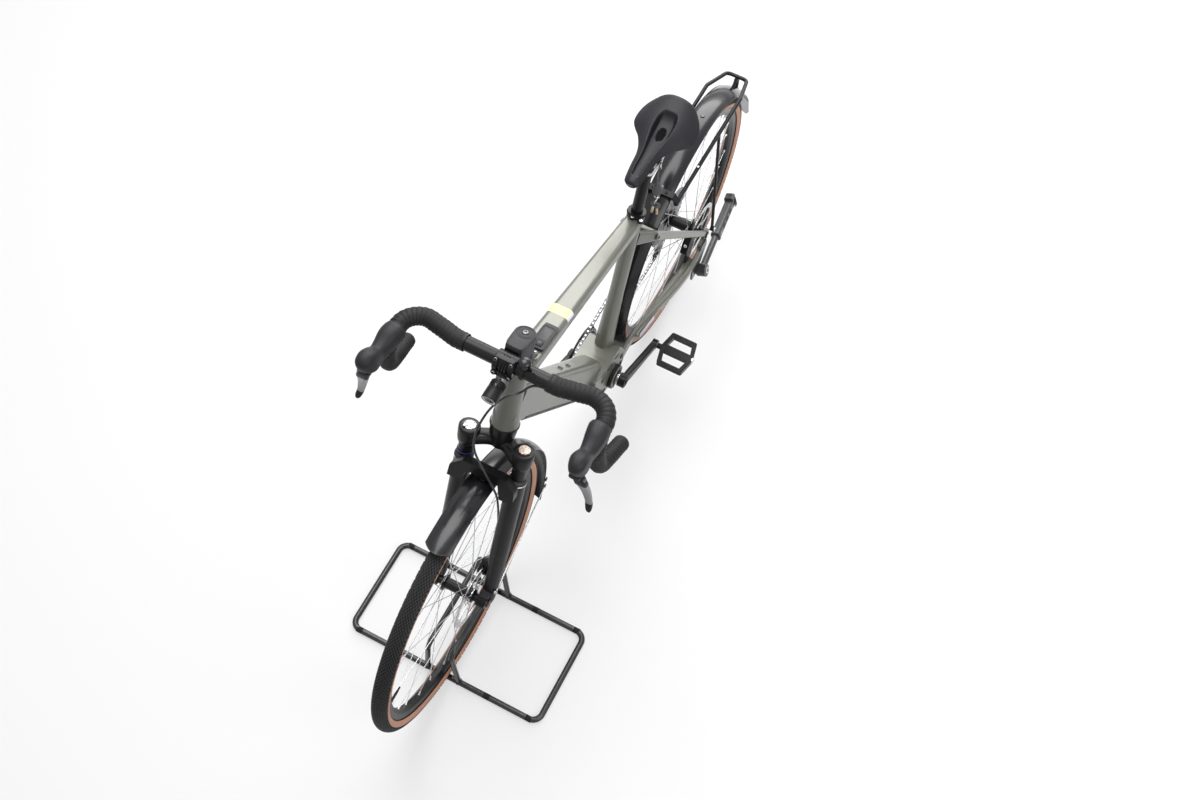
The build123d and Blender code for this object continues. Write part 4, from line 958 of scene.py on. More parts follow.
# ---------------------------------------------------------------- handlebar
@dataclass
class Cockpit:
    """Bar tape, hoods, levers, stem details and lamp, in millimetres.

    Attributes:
        places: the bicycle's main points.
        body: the CAD body that these ride on.
        tape_start: where the tape starts, from the middle.
        tape_square: where the bar's straight middle ends, from the middle.
        half_width: from the middle to the hoods.
        sweep: how far the tops bend back.
        reach: how far the bar goes ahead of its middle.
        drop: how far the bar goes down.
        flare: how much further out the drops end.
        bend: radius of the bar's bends.
        tape_radius: radius over the tape.
        wrap_pitch: spacing of the tape's wraps.
        wrap_step: height of each overlap.
        bar_radius: radius of the bar's bare middle.
        lamp_at: the headlight's middle, ahead of the rear axle and above the floor.
        bell_y: the bell's distance to the left.
        hose_radius: radius of the brake hose.
        caliper_turn: angle of the front caliper round its axle, in degrees.
        hood: how far ahead, then side, rise, width, height and lean of the hood's sections.
        lever: how far down, then ahead, side, rise, width, depth and lean of the lever's.
    """

    places: Places
    body: str = "front_end"
    tape_start: float = 90.0
    tape_square: float = 112.0
    half_width: float = 222.0
    sweep: float = 22.0
    reach: float = 76.0
    drop: float = 112.0
    flare: float = 23.0
    bend: float = 44.0
    tape_radius: float = 18.2
    wrap_pitch: float = 9.5
    wrap_step: float = 1.7
    bar_radius: float = 15.9
    lamp_at: tuple[float, float] = (930, 983)
    bell_y: float = 38.0
    hose_radius: float = 2.5
    caliper_turn: float = 150.0
    hood: Table = (
        (38, 222, 5, 42, 42, 0.0),
        (44, 222, 6, 45.5, 46, 0.0),
        (66, 224, 9, 43, 49, 0.1),
        (92, 225, 8, 35, 42, 0.15),
        (107, 225, 11, 31, 41, 0.12),
        (121, 225, 19, 35, 55, 0.05),
        (136, 225, 26, 37, 62, 0.0),
        (150, 226, 29, 32, 52, -0.08),
        (158, 226, 30, 22, 36, -0.15),
        (162, 226, 30, 8, 14, -0.2),
    )
    lever: Table = (
        (0, 143, 230, 6, 14, 12, 0.1),
        (24, 147, 235, -18, 25, 13, 0.0),
        (46, 143, 240, -42, 24, 11, -0.12),
        (74, 140, 246, -70, 20, 9, -0.1),
        (106, 141, 253, -104, 15, 8, 0.15),
        (122, 146, 256, -118, 13, 9, 0.3),
        (132, 151, 258, -127, 9, 6, 0.4),
    )

    def line(self, side: int) -> list[Vector]:
        """Corners of one half of the bar, from where its tape starts."""
        bar = self.places.bar
        wide = side * self.half_width
        return [
            bar + LEFT * (side * self.tape_start),
            bar + LEFT * (side * self.tape_square),
            bar + Vector((-self.sweep, wide, 0)),
            bar + Vector((self.reach, wide + side * 4, 4)),
            bar + Vector((self.reach - 10, wide + side * 14, -self.drop)),
            bar + Vector((-20, wide + side * self.flare, -self.drop - 34)),
        ]

    def tape(self, name: str, side: int) -> None:
        """Winds the tape along one half of the bar and plugs its end."""
        samples = bent(self.line(side), self.bend, 1.3)
        run = [0.0]
        for a, b in zip(samples, samples[1:]):
            run.append(run[-1] + (b - a).length)
        total = run[-1]

        def wrap(number: int, turn: float) -> float:
            """Height of the tape's overlap at one place."""
            phase = (run[number] / self.wrap_pitch - side * turn / tau) % 1.0
            wave = 0.22 * sin(run[number] / 23.0 + turn * 2) + 0.16 * sin(run[number] / 7.1 - turn)
            lip = min(1.0, run[number] / 5.0, (total - run[number]) / 4.0)
            step = self.wrap_step * (phase if phase < 0.86 else (1 - phase) * 6.1) * 0.8
            return (step + wave) * lip

        radii = [self.tape_radius - 1.5 * smooth_step((r / total - 0.5) / 0.2) for r in run]
        shell = Shell().tube(samples, radii, 26, 0, wrap)
        start = [p for p, r in zip(samples, run) if r < 11]
        shell.tube(start, self.tape_radius + 0.5, 26, 1)
        tail = samples[-1] - samples[-4]
        plug = facing(samples[-1] - tail.normalized(), tail)
        shell.lathe(
            plug, ((0, 14.0), (2.0, 15.3), (4.2, 14.4), (5.0, 11.5), (5.0, 8.0), (3.6, 7.0)), 26, 1
        )
        shell.piece(
            f"wound_tape_{name}", self.body, "bar_tape", (TAPE, BLACK_PLASTIC), 24,
            replaces=(f"bar_tape_{name}",),
        )

    def hoods(self, name: str, side: int) -> None:
        """Moulds one brake hood over the bar."""
        bar = self.places.bar
        shell = Shell()
        rings = []
        first, last = self.hood[0][0], self.hood[-1][0]
        for k in range(33):
            ahead = first + (last - first) * (k / 32) ** 0.85
            out_y, rise, across, tall, lean = eased(self.hood, ahead)
            centre = bar + Vector((ahead, side * out_y, rise))
            up = Vector((-lean, 0, 1)).normalized()
            ring = []
            for x, z in rounded_box(across, tall, min(across, tall) * 0.42, 32):
                pinch = 1.0 - 0.07 * max(0.0, z / tall)
                ring.append(centre + Vector((0, x * pinch, 0)) + up * z)
            rings.append(ring)
        shell.skin(rings)
        low = bar + Vector((self.hood[2][0] + 12, side * 224, -14))
        shell.slab(facing(low, Vector((0.15, 0, -1)), AHEAD), rounded_box(52, 24, 9), 3.0, 1.2, 0)
        front = bar + Vector((148, side * 226, 6))
        shell.slab(facing(front, Vector((0.55, 0, -1)), LEFT), rounded_box(24, 20, 6), 7, 2.0, 1)
        shell.piece(
            f"moulded_hood_{name}", self.body, "rubber", (HOOD_RUBBER, GREY_PLASTIC), 50,
            replaces=(f"brake_hood_{name}",),
        )

    def levers(self, name: str, side: int) -> None:
        """Forms one brake lever with its pivot and its dark tip."""
        bar = self.places.bar
        shell = Shell()
        total = self.lever[-1][0]

        def ring(run: float, grow: float = 0.0) -> list[Vector]:
            """Section of the lever at a distance down it."""
            ahead, out_y, rise, across, deep, lean = eased(self.lever, run)
            fore = Vector((1, 0, lean)).normalized()
            centre = bar + Vector((ahead, side * out_y, rise))
            outline = rounded_box(across + grow, deep + grow, deep * 0.42, 24)
            return [centre + Vector((0, x, 0)) + fore * (z - 0.10 * abs(x)) for x, z in outline]

        shell.skin([ring(total * (0.16 + 0.68 * k / 18)) for k in range(19)], mark=0)
        shell.skin(
            [ring(total * 0.83 + (total * 0.17) * k / 6, 0.8 - 2.2 * (k == 6)) for k in range(7)],
            mark=1,
        )
        shell.skin([ring(total * 0.24 * k / 5, 1.6) for k in range(6)], mark=1)
        ahead, out_y, rise, *_ = eased(self.lever, total * 0.1)
        pivot = bar + Vector((ahead, side * out_y - 13, rise))
        shell.lathe(facing(pivot, LEFT), ((0, 3.0), (0.6, 4.4), (25.4, 4.4), (26, 3.0)), 20, 2)
        shell.piece(
            f"lever_blade_{name}", self.body, "alloy", (LEVER, BLACK_PLASTIC, DARK_STEEL), 45,
            replaces=(f"brake_lever_{name}",),
        )

    def stem(self) -> None:
        """Adds the stem's face plate, its bolts and the smooth cover over it."""
        p = self.places
        face = Shell()
        for y, half in ((-17, 5.2), (-5.6, 1.7), (0, 1.7), (5.6, 1.7), (17, 5.2)):
            rings = []
            for k in range(15):
                turn = radians(-74 + 148 * k / 14)
                way = p.steer_out * cos(turn) + p.steer_up * sin(turn)
                strip = ((20.5, -half), (24.2, -half), (25.0, 0), (24.2, half), (20.5, half))
                rings.append([p.bar + way * r + LEFT * (y + o) for r, o in strip])
            face.skin(rings)
        for up in (17.5, -17.5):
            bridge = facing(p.bar + p.steer_up * up + p.steer_out * 8, p.steer_out, LEFT)
            face.slab(bridge, rounded_box(46, 10, 4.5), 13.5, 1.5)
            for y in (-16.5, 16.5):
                seat = facing(p.bar + p.steer_up * up + p.steer_out * 20 + LEFT * y, p.steer_out)
                face.lathe(seat, ((0, 6.2), (3.0, 6.0), (3.6, 5.2)), 24)
                face.bolt(facing(seat.translation + p.steer_out * 2.2, p.steer_out), 4.2, 3.6, 1)
        face.piece("stem_face_plate", self.body, "black_metal", (BLACK_METAL, DARK_STEEL), 40)

        cover = Shell()
        outline = []
        for k in range(33):
            turn = radians(80 + 200 * k / 32)
            outline.append((23.5 * cos(turn), 23.5 * sin(turn)))
        outline += [
            (20, -22.5), (38, -21), (48, -18), (51, -12), (51.5, 0), (51, 12), (48, 18), (38, 21),
            (20, 22.5),
        ]
        base = facing(p.steer(p.bar_up - 25), p.steer_up, p.steer_out)
        cover.slab(base, outline, 55.5, 5.0)
        top = facing(p.steer(p.bar_up + 30.3), p.steer_up, p.steer_out)
        lid = [(-0.6, 18.6), (0.9, 18.2), (0.9, 16.6), (-0.4, 16.2), (-0.4, 14.4), (0.6, 14.0)]
        cover.lathe(top, lid + [(0.9, 9.0), (0.4, 6.6)], 40, 1)
        cover.bolt(facing(top.translation, p.steer_up), 6.2, 2.6, 2)
        cover.piece(
            "stem_top_cover", self.body, "black_plastic", (STEM_PLASTIC, BLACK_PLASTIC, DARK_STEEL),
            40,
        )

    def lamp(self) -> None:
        """Adds the headlight's ribs, pale bezel and lens, and its bracket."""
        p = self.places
        lamp = p.at(self.lamp_at[0], 0, self.lamp_at[1])
        way = Vector((cos(radians(4)), 0, -sin(radians(4))))
        shell = Shell()
        back = facing(lamp - way * 15, way)
        profile = [(0, 11.5), (1.2, 14.4)]
        for k in range(4):
            profile += [
                (3 + 3.4 * k, 14.6), (3.4 + 3.4 * k, 16.0), (5.0 + 3.4 * k, 16.0),
                (5.4 + 3.4 * k, 14.6),
            ]
        profile += [(19, 16.2), (38, 16.6), (43.6, 16.6), (44.6, 15.8), (44.6, 14.2), (42.6, 13.6)]
        shell.lathe(back, profile, 48)
        front = facing(lamp + way * 28.2, way, LEFT)
        shell.lathe(front, ((0.2, 14.2), (1.2, 14.0), (1.5, 12.6), (0.4, 10.6)), 48, 1)
        shell.lathe(front, ((0.3, 11.0), (1.1, 10.0), (1.8, 6.5), (2.1, 2.0)), 48, 2)
        shell.slab(facing(lamp + way * 29.6, way, LEFT), rounded_box(13, 5.0, 2.4, 24), 1.2, 0.5, 3)
        button = facing(lamp + Vector((0.3, 0, 0.94)) * 15.4, Vector((0.34, 0, 0.94)), way)
        shell.slab(button, rounded_box(14, 7, 3), 2.2, 0.8, 3)
        shell.piece(
            "headlight_shell", self.body, "black_plastic",
            (BLACK_PLASTIC, PALE_RING, LENS, GLOSS_PLASTIC), 35, replaces=("headlight",),
        )
        clamp = Shell()
        arm = (lamp - p.bar).normalized()
        clamp.slab(facing(p.bar + arm * 20, arm, LEFT), rounded_box(26, 15, 5), 11, 2)
        for y in (-13.5, 13.5):
            seat = p.bar + arm * 26
            clamp.lathe(facing(seat + LEFT * y, LEFT * y), ((-3, 5), (2.5, 5), (3.4, 4.2)), 20)
            clamp.bolt(facing(seat + LEFT * (y * 1.2), LEFT * y), 3.4, 3, 1)
        clamp.piece("headlight_bracket", self.body, "black_plastic", (BLACK_PLASTIC, STEEL), 35)

    def bell(self) -> None:
        """Adds the bell's dome, foot, striker and band."""
        bar = self.places.bar
        bell = Shell()
        seat = bar + Vector((0, self.bell_y, self.bar_radius + 3))
        turns = [radians(a) for a in range(0, 86, 9)]
        dome = [(12 + 9.5 * sin(t), 13.2 * cos(t)) for t in turns]
        bell.lathe(facing(seat, UP), [(9.6, 11.6), (10.4, 13.4)] + dome, 40)
        bell.lathe(facing(seat, UP), ((-1, 7), (9, 7), (9.6, 6)), 24, 1)
        points = [seat + Vector(v) for v in ((2, 10, 4), (6, 20, 8), (14, 24, 13))]
        strike = bent(points, 5, 2)
        bell.tube(strike, [2.6 - 0.8 * k / len(strike) for k in range(len(strike))], 12, 1)
        band = [bar + upright(tau * k / 48, 17.2, self.bell_y) for k in range(49)]
        bell.tube(band, 1.6, 8, 1)
        bell.piece("bell_dome", self.body, "black_plastic", (GLOSS_PLASTIC, BLACK_PLASTIC), 40)

    def hose(self) -> None:
        """Hangs the brake hose from under the tape down to the front caliper."""
        p = self.places
        way = Vector((0.35, 0, -0.94)).normalized()
        start = p.bar + way * (self.bar_radius + 2.8)
        caliper = upright(radians(self.caliper_turn), 1.0)
        end = p.front_axle + caliper * 95.3 + Vector((0, 37, 0))
        route = [
            start + Vector((0, 89.7, 0)), start + Vector((0, 62, 0)), p.bar + Vector((32, 44, -36)),
            p.steer(622, 56, 14), p.steer(560, 62, -22), p.steer(470, 78, -36), p.steer(420, 84, 6),
            p.steer(382, 80, 34), p.steer(290, 24, 34), end + caliper * 40, end,
        ]
        curve = bpy.data.curves.new("front_hose", "CURVE")
        curve.dimensions = "3D"
        curve.resolution_u = 12
        spline = curve.splines.new("NURBS")
        spline.points.add(len(route) - 1)
        for point, where in zip(spline.points, route):
            point.co = (*(where * MM), 1.0)
        spline.order_u = 3
        spline.use_endpoint_u = True
        curve.bevel_depth = self.hose_radius * MM
        curve.bevel_resolution = 4
        curve.use_fill_caps = True
        curve.materials.append(HOSE.material())
        hose = bpy.data.objects.new("front_hose", curve)
        bpy.context.scene.collection.objects.link(hose)
        length = 0.0
        for a, b, c in zip(route, route[1:], route[2:]):
            first = (a + b) / 2 if a is not route[0] else a
            last = (b + c) / 2 if c is not route[-1] else c
            before = first
            for k in range(1, 17):
                t = k / 16
                here = first * (1 - t) ** 2 + b * (2 * t * (1 - t)) + last * t**2
                length += (here - before).length
                before = here
        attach(hose, self.body)
        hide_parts("front_brake_hose")
        tuple(route[0] * MM)
        LOG.info("front_hose: %.0f mm long", length)
        ends = Shell()
        ferrule = ((-3, 4.6), (5, 4.6), (6, 3.8), (17, 3.5), (19, 3.0))
        ends.lathe(facing(end + caliper, caliper), ferrule, 20, 0)
        ends.piece("hose_ferrule", self.body, "steel", BLACK_METAL)

    def build(self) -> None:
        """Builds the whole cockpit."""
        self.hose()
        for name, side in SIDES:
            self.tape(name, side)
            self.hoods(name, side)
            self.levers(name, side)
        self.stem()
        self.lamp()
        self.bell()


# ---------------------------------------------------------------- saddle and seatpost
@dataclass
class Seat:
    """Saddle, its rails' clamp, the collar's bolts and the keys, in millimetres.

    Attributes:
        places: the bicycle's main points.
        body: the CAD body that these ride on.
        nose: the saddle's nose, ahead of the rear axle.
        rail_z: height of the saddle's rails.
        seat_angle: seat tube from the floor, in degrees.
        seat_top_z: height of the seat tube's top.
        stations: how far behind the nose, then crown height, half width, droop and depth.
        channel: how far behind the nose, then half width and depth of the middle channel.
        hole: middle behind the nose, half length and half width of the opening, which is not cut
            but painted dark and dull as painted shade.
    """

    places: Places
    body: str = "frame"
    nose: float = 351.0
    rail_z: float = 921.0
    seat_angle: float = 73.0
    seat_top_z: float = 772.0
    stations: Table = (
        (0, 945, 11, 6, 8),
        (5, 948.5, 16, 9, 14),
        (13, 951, 19, 11, 19),
        (43, 955.5, 22.5, 13, 26),
        (88, 959, 27.5, 15, 28),
        (121, 963, 43, 20, 30),
        (140, 965.5, 59, 27, 32),
        (156, 968, 69.5, 31, 32),
        (174, 970.5, 72, 32, 32),
        (194, 972.5, 69.5, 31, 31),
        (210, 974.5, 62, 27, 29),
        (221, 975.5, 53, 22, 26),
        (231, 976.5, 43, 17, 20),
        (238, 976, 33, 12, 13),
    )
    channel: Table = (
        (18, 5.5, 0.0),
        (25, 8.0, 6.0),
        (81, 11.5, 11.0),
        (121, 17.0, 17.0),
        (143, 20.0, 20.0),
        (172, 20.0, 18.0),
        (188, 16.0, 10.0),
        (194, 13.0, 0.0),
    )
    hole: tuple[float, float, float] = (146, 19, 10)

    def __post_init__(self) -> None:
        """Finds the seat tube's direction and top."""
        lean = radians(self.seat_angle)
        self.way = Vector((-cos(lean), 0, sin(lean)))
        self.ahead = Vector((sin(lean), 0, cos(lean)))
        rise = self.seat_top_z - self.places.bracket.z
        self.top = self.places.bracket + self.way * (rise / sin(lean))

    def dip(self, behind: float, y: float) -> float:
        """Depth of the middle channel at a point."""
        if not self.channel[0][0] < behind < self.channel[-1][0]:
            return 0.0
        half, depth = eased(self.channel, behind)
        return depth * (1.0 - smooth_step((abs(y) - half * 0.80) / (half * 0.22 + 1.5)))

    def saddle(self) -> None:
        """Builds the padded saddle with its channel, shell and rim, and paints the faces over the
        opening dark and dull as painted shade.
        """
        shell = Shell()
        top_count, low_count, steps = 81, 17, 94
        rings = []
        total = self.stations[-1][0]
        for k in range(steps + 1):
            behind = total * (k // steps)
            if 0 < k < steps:
                behind = total * (0.5 - 0.5 * cos(pi * (0.06 + 0.88 * k / steps)))
            crown, half, droop, depth = eased(self.stations, behind)
            ring = []
            for i in range(top_count):
                v = sin(radians(-90 + 180 * i / (top_count - 1)) * 0.985)
                y = half * v
                fall = droop * abs(v) ** 2.4
                z = crown - fall - self.dip(behind, y)
                ring.append(self.places.at(self.nose - behind, y, z))
            under = crown - droop
            for i in range(low_count):
                v = 1 - 2 * (i + 0.5) / low_count
                y = (half - 2.2) * v
                belly = max(0.0, max(depth, droop * 0.5 + 8) - droop)
                ring.append(
                    self.places.at(self.nose - behind, y, under - 5.5 - belly * (1 - v * v))
                )
            rings.append(ring)
        made = [shell.ring(r) for r in rings]
        count = len(made[0])
        mid, long, wide = self.hole
        for a, b in zip(made, made[1:]):
            for i in range(count):
                j = (i + 1) % count
                spot = (shell.points[a[i]] + shell.points[b[j]]) / 2
                behind = self.nose - (spot.x - self.places.rear_axle.x)
                # Faces inside the opening's ellipse take the dark, dull finish as painted shade; no
                # hole is cut.
                hole_shaded = ((behind - mid) / long) ** 2 + (spot.y / wide) ** 2 < 1.0
                upper = i < top_count - 1
                shell.face((a[i], a[j], b[j], b[i]), 1 if not upper else 2 if hole_shaded else 0)
        shell.face(made[0][::-1], 1)
        shell.face(made[-1], 1)
        cover = shell.piece(
            "saddle_cover", self.body, "saddle_cover", (SADDLE_COVER, BLACK_PLASTIC, HOLE_SHADE), 60,
            replaces=("saddle",), refine=1,
        )

    def piping(self) -> None:
        """Lines the channel's edges and the nose with thin piping, painted a lighter grey than the
        cover as a painted highlight along these rims.
        """
        trim = Shell()
        for side in (1, -1):
            edge = []
            for behind in range(28, 198, 3):
                half, _ = eased(self.channel, behind)
                crown, wide, droop, _ = eased(self.stations, behind)
                y = side * (half * 1.17 + 0.6)
                fall = droop * abs(y / wide) ** 2.4
                z = crown - fall - self.dip(behind, y) + 0.1
                edge.append(self.places.at(self.nose - behind, y, z))
            trim.tube(edge, 0.6, 8)
        nose = []
        crown, half, droop, _ = eased(self.stations, 5)
        for k in range(25):
            turn = radians(-80 + 160 * k / 24)
            x = self.nose - 12 + 12.2 * cos(turn)
            nose.append(self.places.at(x, half * 0.98 * sin(turn), crown - droop - 1.0))
        trim.tube(nose, 1.3, 8)
        trim.piece("saddle_piping_highlight", self.body, "saddle_cover", PIPING_HIGHLIGHT)

    def clamp(self) -> None:
        """Adds the rail clamp's cradle and bolts."""
        p = self.places
        shell = Shell()
        back = (self.rail_z - 24 - p.bracket.z) / math.tan(radians(self.seat_angle))
        head_x = p.bracket.x - p.rear_axle.x - back
        for side in (1, -1):
            plate = facing(p.at(head_x, side * 14.5, self.rail_z + 3.0), UP, AHEAD)
            shell.slab(plate, rounded_box(36, 14, 5), 4.5, 1.4, 1)
            cheek = facing(p.at(head_x, side * 24.4, self.rail_z - 1), LEFT * side, AHEAD)
            shell.slab(cheek, rounded_box(26, 12, 4), 3, 1.0, 1)
            shell.bolt(facing(p.at(head_x, side * 27.2, self.rail_z - 1), LEFT * side), 4.0, 2.5, 0)
        for x in (head_x - 16, head_x + 17):
            bolt = facing(p.at(x, 0, self.rail_z - 16), UP)
            shell.lathe(bolt, ((0, 3), (26, 3), (26, 5.6), (30, 5.6), (31, 4.4)), 18, 0)
        shell.piece("rail_clamp", self.body, "alloy", (STEEL, ALLOY), 40)

    def collar(self) -> None:
        """Adds the seat collar's bolts, lugs and upper ring."""
        collar = Shell()
        for y, out in ((-1.0, 19.5), (20.0, 21.0)):
            spot = self.top + self.ahead * out + LEFT * y - self.way * 5.0
            spot = facing(spot, self.way, self.ahead)
            collar.slab(spot, rounded_box(13, 13, 5), 4.2, 1.4, 1)
            collar.bolt(spot @ Matrix.Translation((0, 0, 4.0)), 4.6, 2.8, 0)
        back = self.top - self.way * 7
        for side in (1, -1):
            lug = facing(back + Vector((-21.5, side * 2.0, -6)), LEFT * side, UP)
            collar.slab(lug, rounded_box(13, 13, 5), 7, 1.5, 1)
            collar.bolt(lug @ Matrix.Translation((0, 0, 7)), 4.0, 2.6, 1)
        collar.tube(circle(facing(self.top + self.way * 0.2, self.way), 21.6, 48), 1.1, 8, 1)
        collar.piece("collar_bolts", self.body, "steel", (STEEL, BLACK_METAL), 40)

    def keys(self) -> None:
        """Hangs the two keys and their fob from the saddle's rail."""
        p = self.places
        hook = p.at(262, 25.5, 916)
        shell = Shell()

        def hoop(
            centre: Vector, across: Vector, tall: Vector, size: float, wire: float, mark: int
        ) -> None:
            """Adds one split ring."""
            turns = [tau * k / 28 for k in range(29)]
            ring = [centre + (across * cos(t) + tall * sin(t)) * size for t in turns]
            shell.tube(ring, wire, 8, mark)

        hoop(hook, LEFT, UP, 7.0, 0.9, 1)
        view = Vector((0.92, 0.38, 0))
        wide = Vector((-0.38, 0.92, 0))
        strap = facing(hook + Vector((-2.5, 0.6, -37)), view, wide)
        shell.slab(strap, rounded_box(4, 66, 1.8), 2.0, 0.7, 0)
        fob = hook + Vector((-7, 1.0, -88))
        turns = [tau * k / 32 for k in range(32)]
        outline = [(10.5 * cos(t) * (1 - 0.14 * sin(t)), 24 * sin(t)) for t in turns]
        shell.slab(facing(fob, view, wide), outline, 4.4, 1.6, 0)
        low = fob + Vector((1, 1, -42))
        hoop(low, AHEAD, Vector((0, 0.25, 1)).normalized(), 8.5, 0.9, 1)
        hoop(low + Vector((0, 0, 14.5)), LEFT, UP, 6.0, 0.8, 1)
        for lean, shift in ((-0.12, -3.2), (0.06, 3.6)):
            down = (wide * lean - UP).normalized()
            bow = low + wide * shift - Vector((0, 0, 17 + shift))
            head = facing(bow - view * 1.6, view, wide)
            shell.slab(head, oval(7.5, 9.5, 20), 3.2, 0.8, 0)
            blade = facing(bow + down * 19 - view * 0.9, view, down)
            cuts = [(-13, -2.6), (8, -2.6), (9.5, -1.2), (11, -2.4), (13, -0.8), (14.5, -1.8)]
            shell.slab(blade, cuts + [(16, 0), (14.5, 2.6), (-13, 2.6)], 1.8, 0.4, 2)
        shell.piece("keys", self.body, "steel", (FOB, STEEL, BRASS), 35)

    def build(self) -> None:
        """Builds the seat's pieces."""
        self.saddle()
        self.piping()
        self.clamp()
        self.collar()
        self.keys()


# ---------------------------------------------------------------- frame details
@dataclass
class FrameTrim:
    """Covers, labels, bolts and ports on the frame, in millimetres.

    Attributes:
        places: the bicycle's main points.
        seat: the seat, for the seat tube's line.
        body: the CAD body that these ride on.
        head_top: top of the head tube, up the steering axis.
        head_bottom: bottom of the head tube, up the steering axis.
        boss_along: middle of the bottle bosses, down the down tube.
        cover_foot: where the battery cover's foot sits, as a share of the down tube.
        label_round: radius of the top tube's corner under its label.
        stay_rear: rear end of the left chain stay's middle line.
        stay_front: its front end.
    """

    places: Places
    seat: Seat
    body: str = "frame"
    head_top: float = 655.0
    head_bottom: float = 487.0
    boss_along: float = 345.0
    cover_foot: float = 0.16
    label_round: float = 11.0
    stay_rear: tuple[float, float, float] = (24, 79.3, 330)
    stay_front: tuple[float, float, float] = (339, 36.9, 294)

    def __post_init__(self) -> None:
        """Finds the top tube's and the down tube's lines."""
        p = self.places
        self.top_start = p.steer(self.head_top - 26, -8)
        self.top_end = self.seat.top - self.seat.way * 24
        self.top_way = (self.top_start - self.top_end).normalized()
        self.top_up = Vector((-self.top_way.z, 0, self.top_way.x))
        self.down_start = p.steer(self.head_bottom + 62)
        self.down_end = p.bracket + Vector((78, 0, 84))
        self.down_way = (self.down_end - self.down_start).normalized()
        self.down_up = Vector((self.down_way.z, 0, -self.down_way.x))

    def on_top(self, along: float, y: float = 0.0, rise: float = 0.0) -> Matrix:
        """Frame on the top tube: z away from it, x forward.

        Args:
            along: distance from the tube's rear end.
            y: distance to the left.
            rise: height above the tube's upper face.
        Returns:
            The frame.
        """
        share = along / (self.top_start - self.top_end).length
        face = 18.0 + 3.0 * share
        spot = self.top_end + self.top_way * along + self.top_up * (face + rise) + LEFT * y
        return facing(spot, self.top_up, self.top_way)

    def labels(self) -> None:
        """Lays the blank label over the top tube."""
        shell = Shell()
        for turns, mark in (((-80, -60, -40, -20, -0.1, 0.1, 20, 34), 0), ((34, 50, 65, 80), 1)):
            rings = []
            for along in (367.0, 381.0, 395.0):
                share = along / (self.top_start - self.top_end).length
                half, tall = 20 + 8 * share, 18 + 3 * share
                ring = []
                for lift, order in ((0.35, turns), (-0.2, turns[::-1])):
                    for turn in order:
                        lean = radians(turn)
                        reach = self.label_round + lift
                        y = math.copysign(half - self.label_round, turn) + sin(lean) * reach
                        z = tall - self.label_round + cos(lean) * reach
                        spot = self.top_end + self.top_way * along + self.top_up * z
                        ring.append(spot + LEFT * y)
                rings.append(ring)
            shell.skin(rings, mark=mark)
        shell.piece("top_tube_label", self.body, "frame_paint", (YELLOW_LABEL, WHITE_LABEL), 50)

    def stays(self) -> None:
        """Lays the left chain stay's labels and fairs both chain stays."""
        p = self.places
        (rear_x, rear_y, rear_z), (front_x, front_y, front_z) = self.stay_rear, self.stay_front
        run, narrowing, fall = front_x - rear_x, rear_y - front_y, rear_z - front_z
        way = p.at(*self.stay_front) - p.at(*self.stay_rear)
        label = Shell()
        for x, z, long, mark in ((286, 297, 64, 1), (188, 304, 68, 0)):
            y = rear_y - narrowing * (x - rear_x) / run
            out = Vector((narrowing / run, 1, 0)).normalized()
            place = facing(p.at(x, y + 13.6, z), out, way)
            label.slab(place, rounded_box(long, 21, 2.0), 0.5, 0.15, mark)
        label.piece("chain_stay_label", self.body, "frame_paint", (PALE_LABEL, WHITE_LABEL), 50)
        deep = Shell()
        for side in (1, -1):
            rings = []
            for k in range(13):
                share = 0.14 + 0.80 * k / 12
                y, z = rear_y + 2.5 - narrowing * share, rear_z - fall * share - 4.5
                tall = 27 - 7 * abs(2 * k / 12 - 1) ** 6
                ahead = way if side > 0 else Vector((run, narrowing, -fall))
                place = facing(p.at(rear_x + run * share, side * y, z), ahead, LEFT)
                rings.append(
                    [place @ Vector((x, y, 0)) for x, y in rounded_box(21.4, tall, 6.5, 24)]
                )
            deep.skin(rings)
        deep.piece("chain_stay_shells", self.body, "frame_paint", PAINT, 50)

    def battery_cover(self) -> None:
        """Fits the dark seal along the battery cover's edge under the down tube."""
        shell = Shell()
        run = (self.down_end - self.down_start).length
        for side in (1, -1):
            rings = []
            for k in range(25):
                share = 0.13 + 0.80 * k / 24
                centre = self.down_start + self.down_way * (run * share)
                half, tall = 25 + 6 * share, 45 + 4 * share
                lip = ((-6.0, 1.2), (0.7, 11.0), (0.7, 14.0), (-1.5, 14.4), (-7.5, 2.6))
                rings.append([
                    centre + self.down_up * (z - tall) + LEFT * (side * (half + y)) for y, z in lip
                ])
            shell.skin(rings)
        centre = self.down_start + self.down_way * (run * self.cover_foot)
        tall = 45 + 4 * self.cover_foot
        place = facing(centre - self.down_up * (tall - 0.4), -self.down_up, self.down_way)
        shell.slab(place, rounded_box(34, 26, 6), 1.6, 0.6)
        shell.bolt(facing(centre - self.down_up * (tall + 1.0), -self.down_up), 4.2, 1.6, 1)
        shell.piece("battery_cover_seal", self.body, "black_plastic", (BLACK_PLASTIC, STEEL), 40)

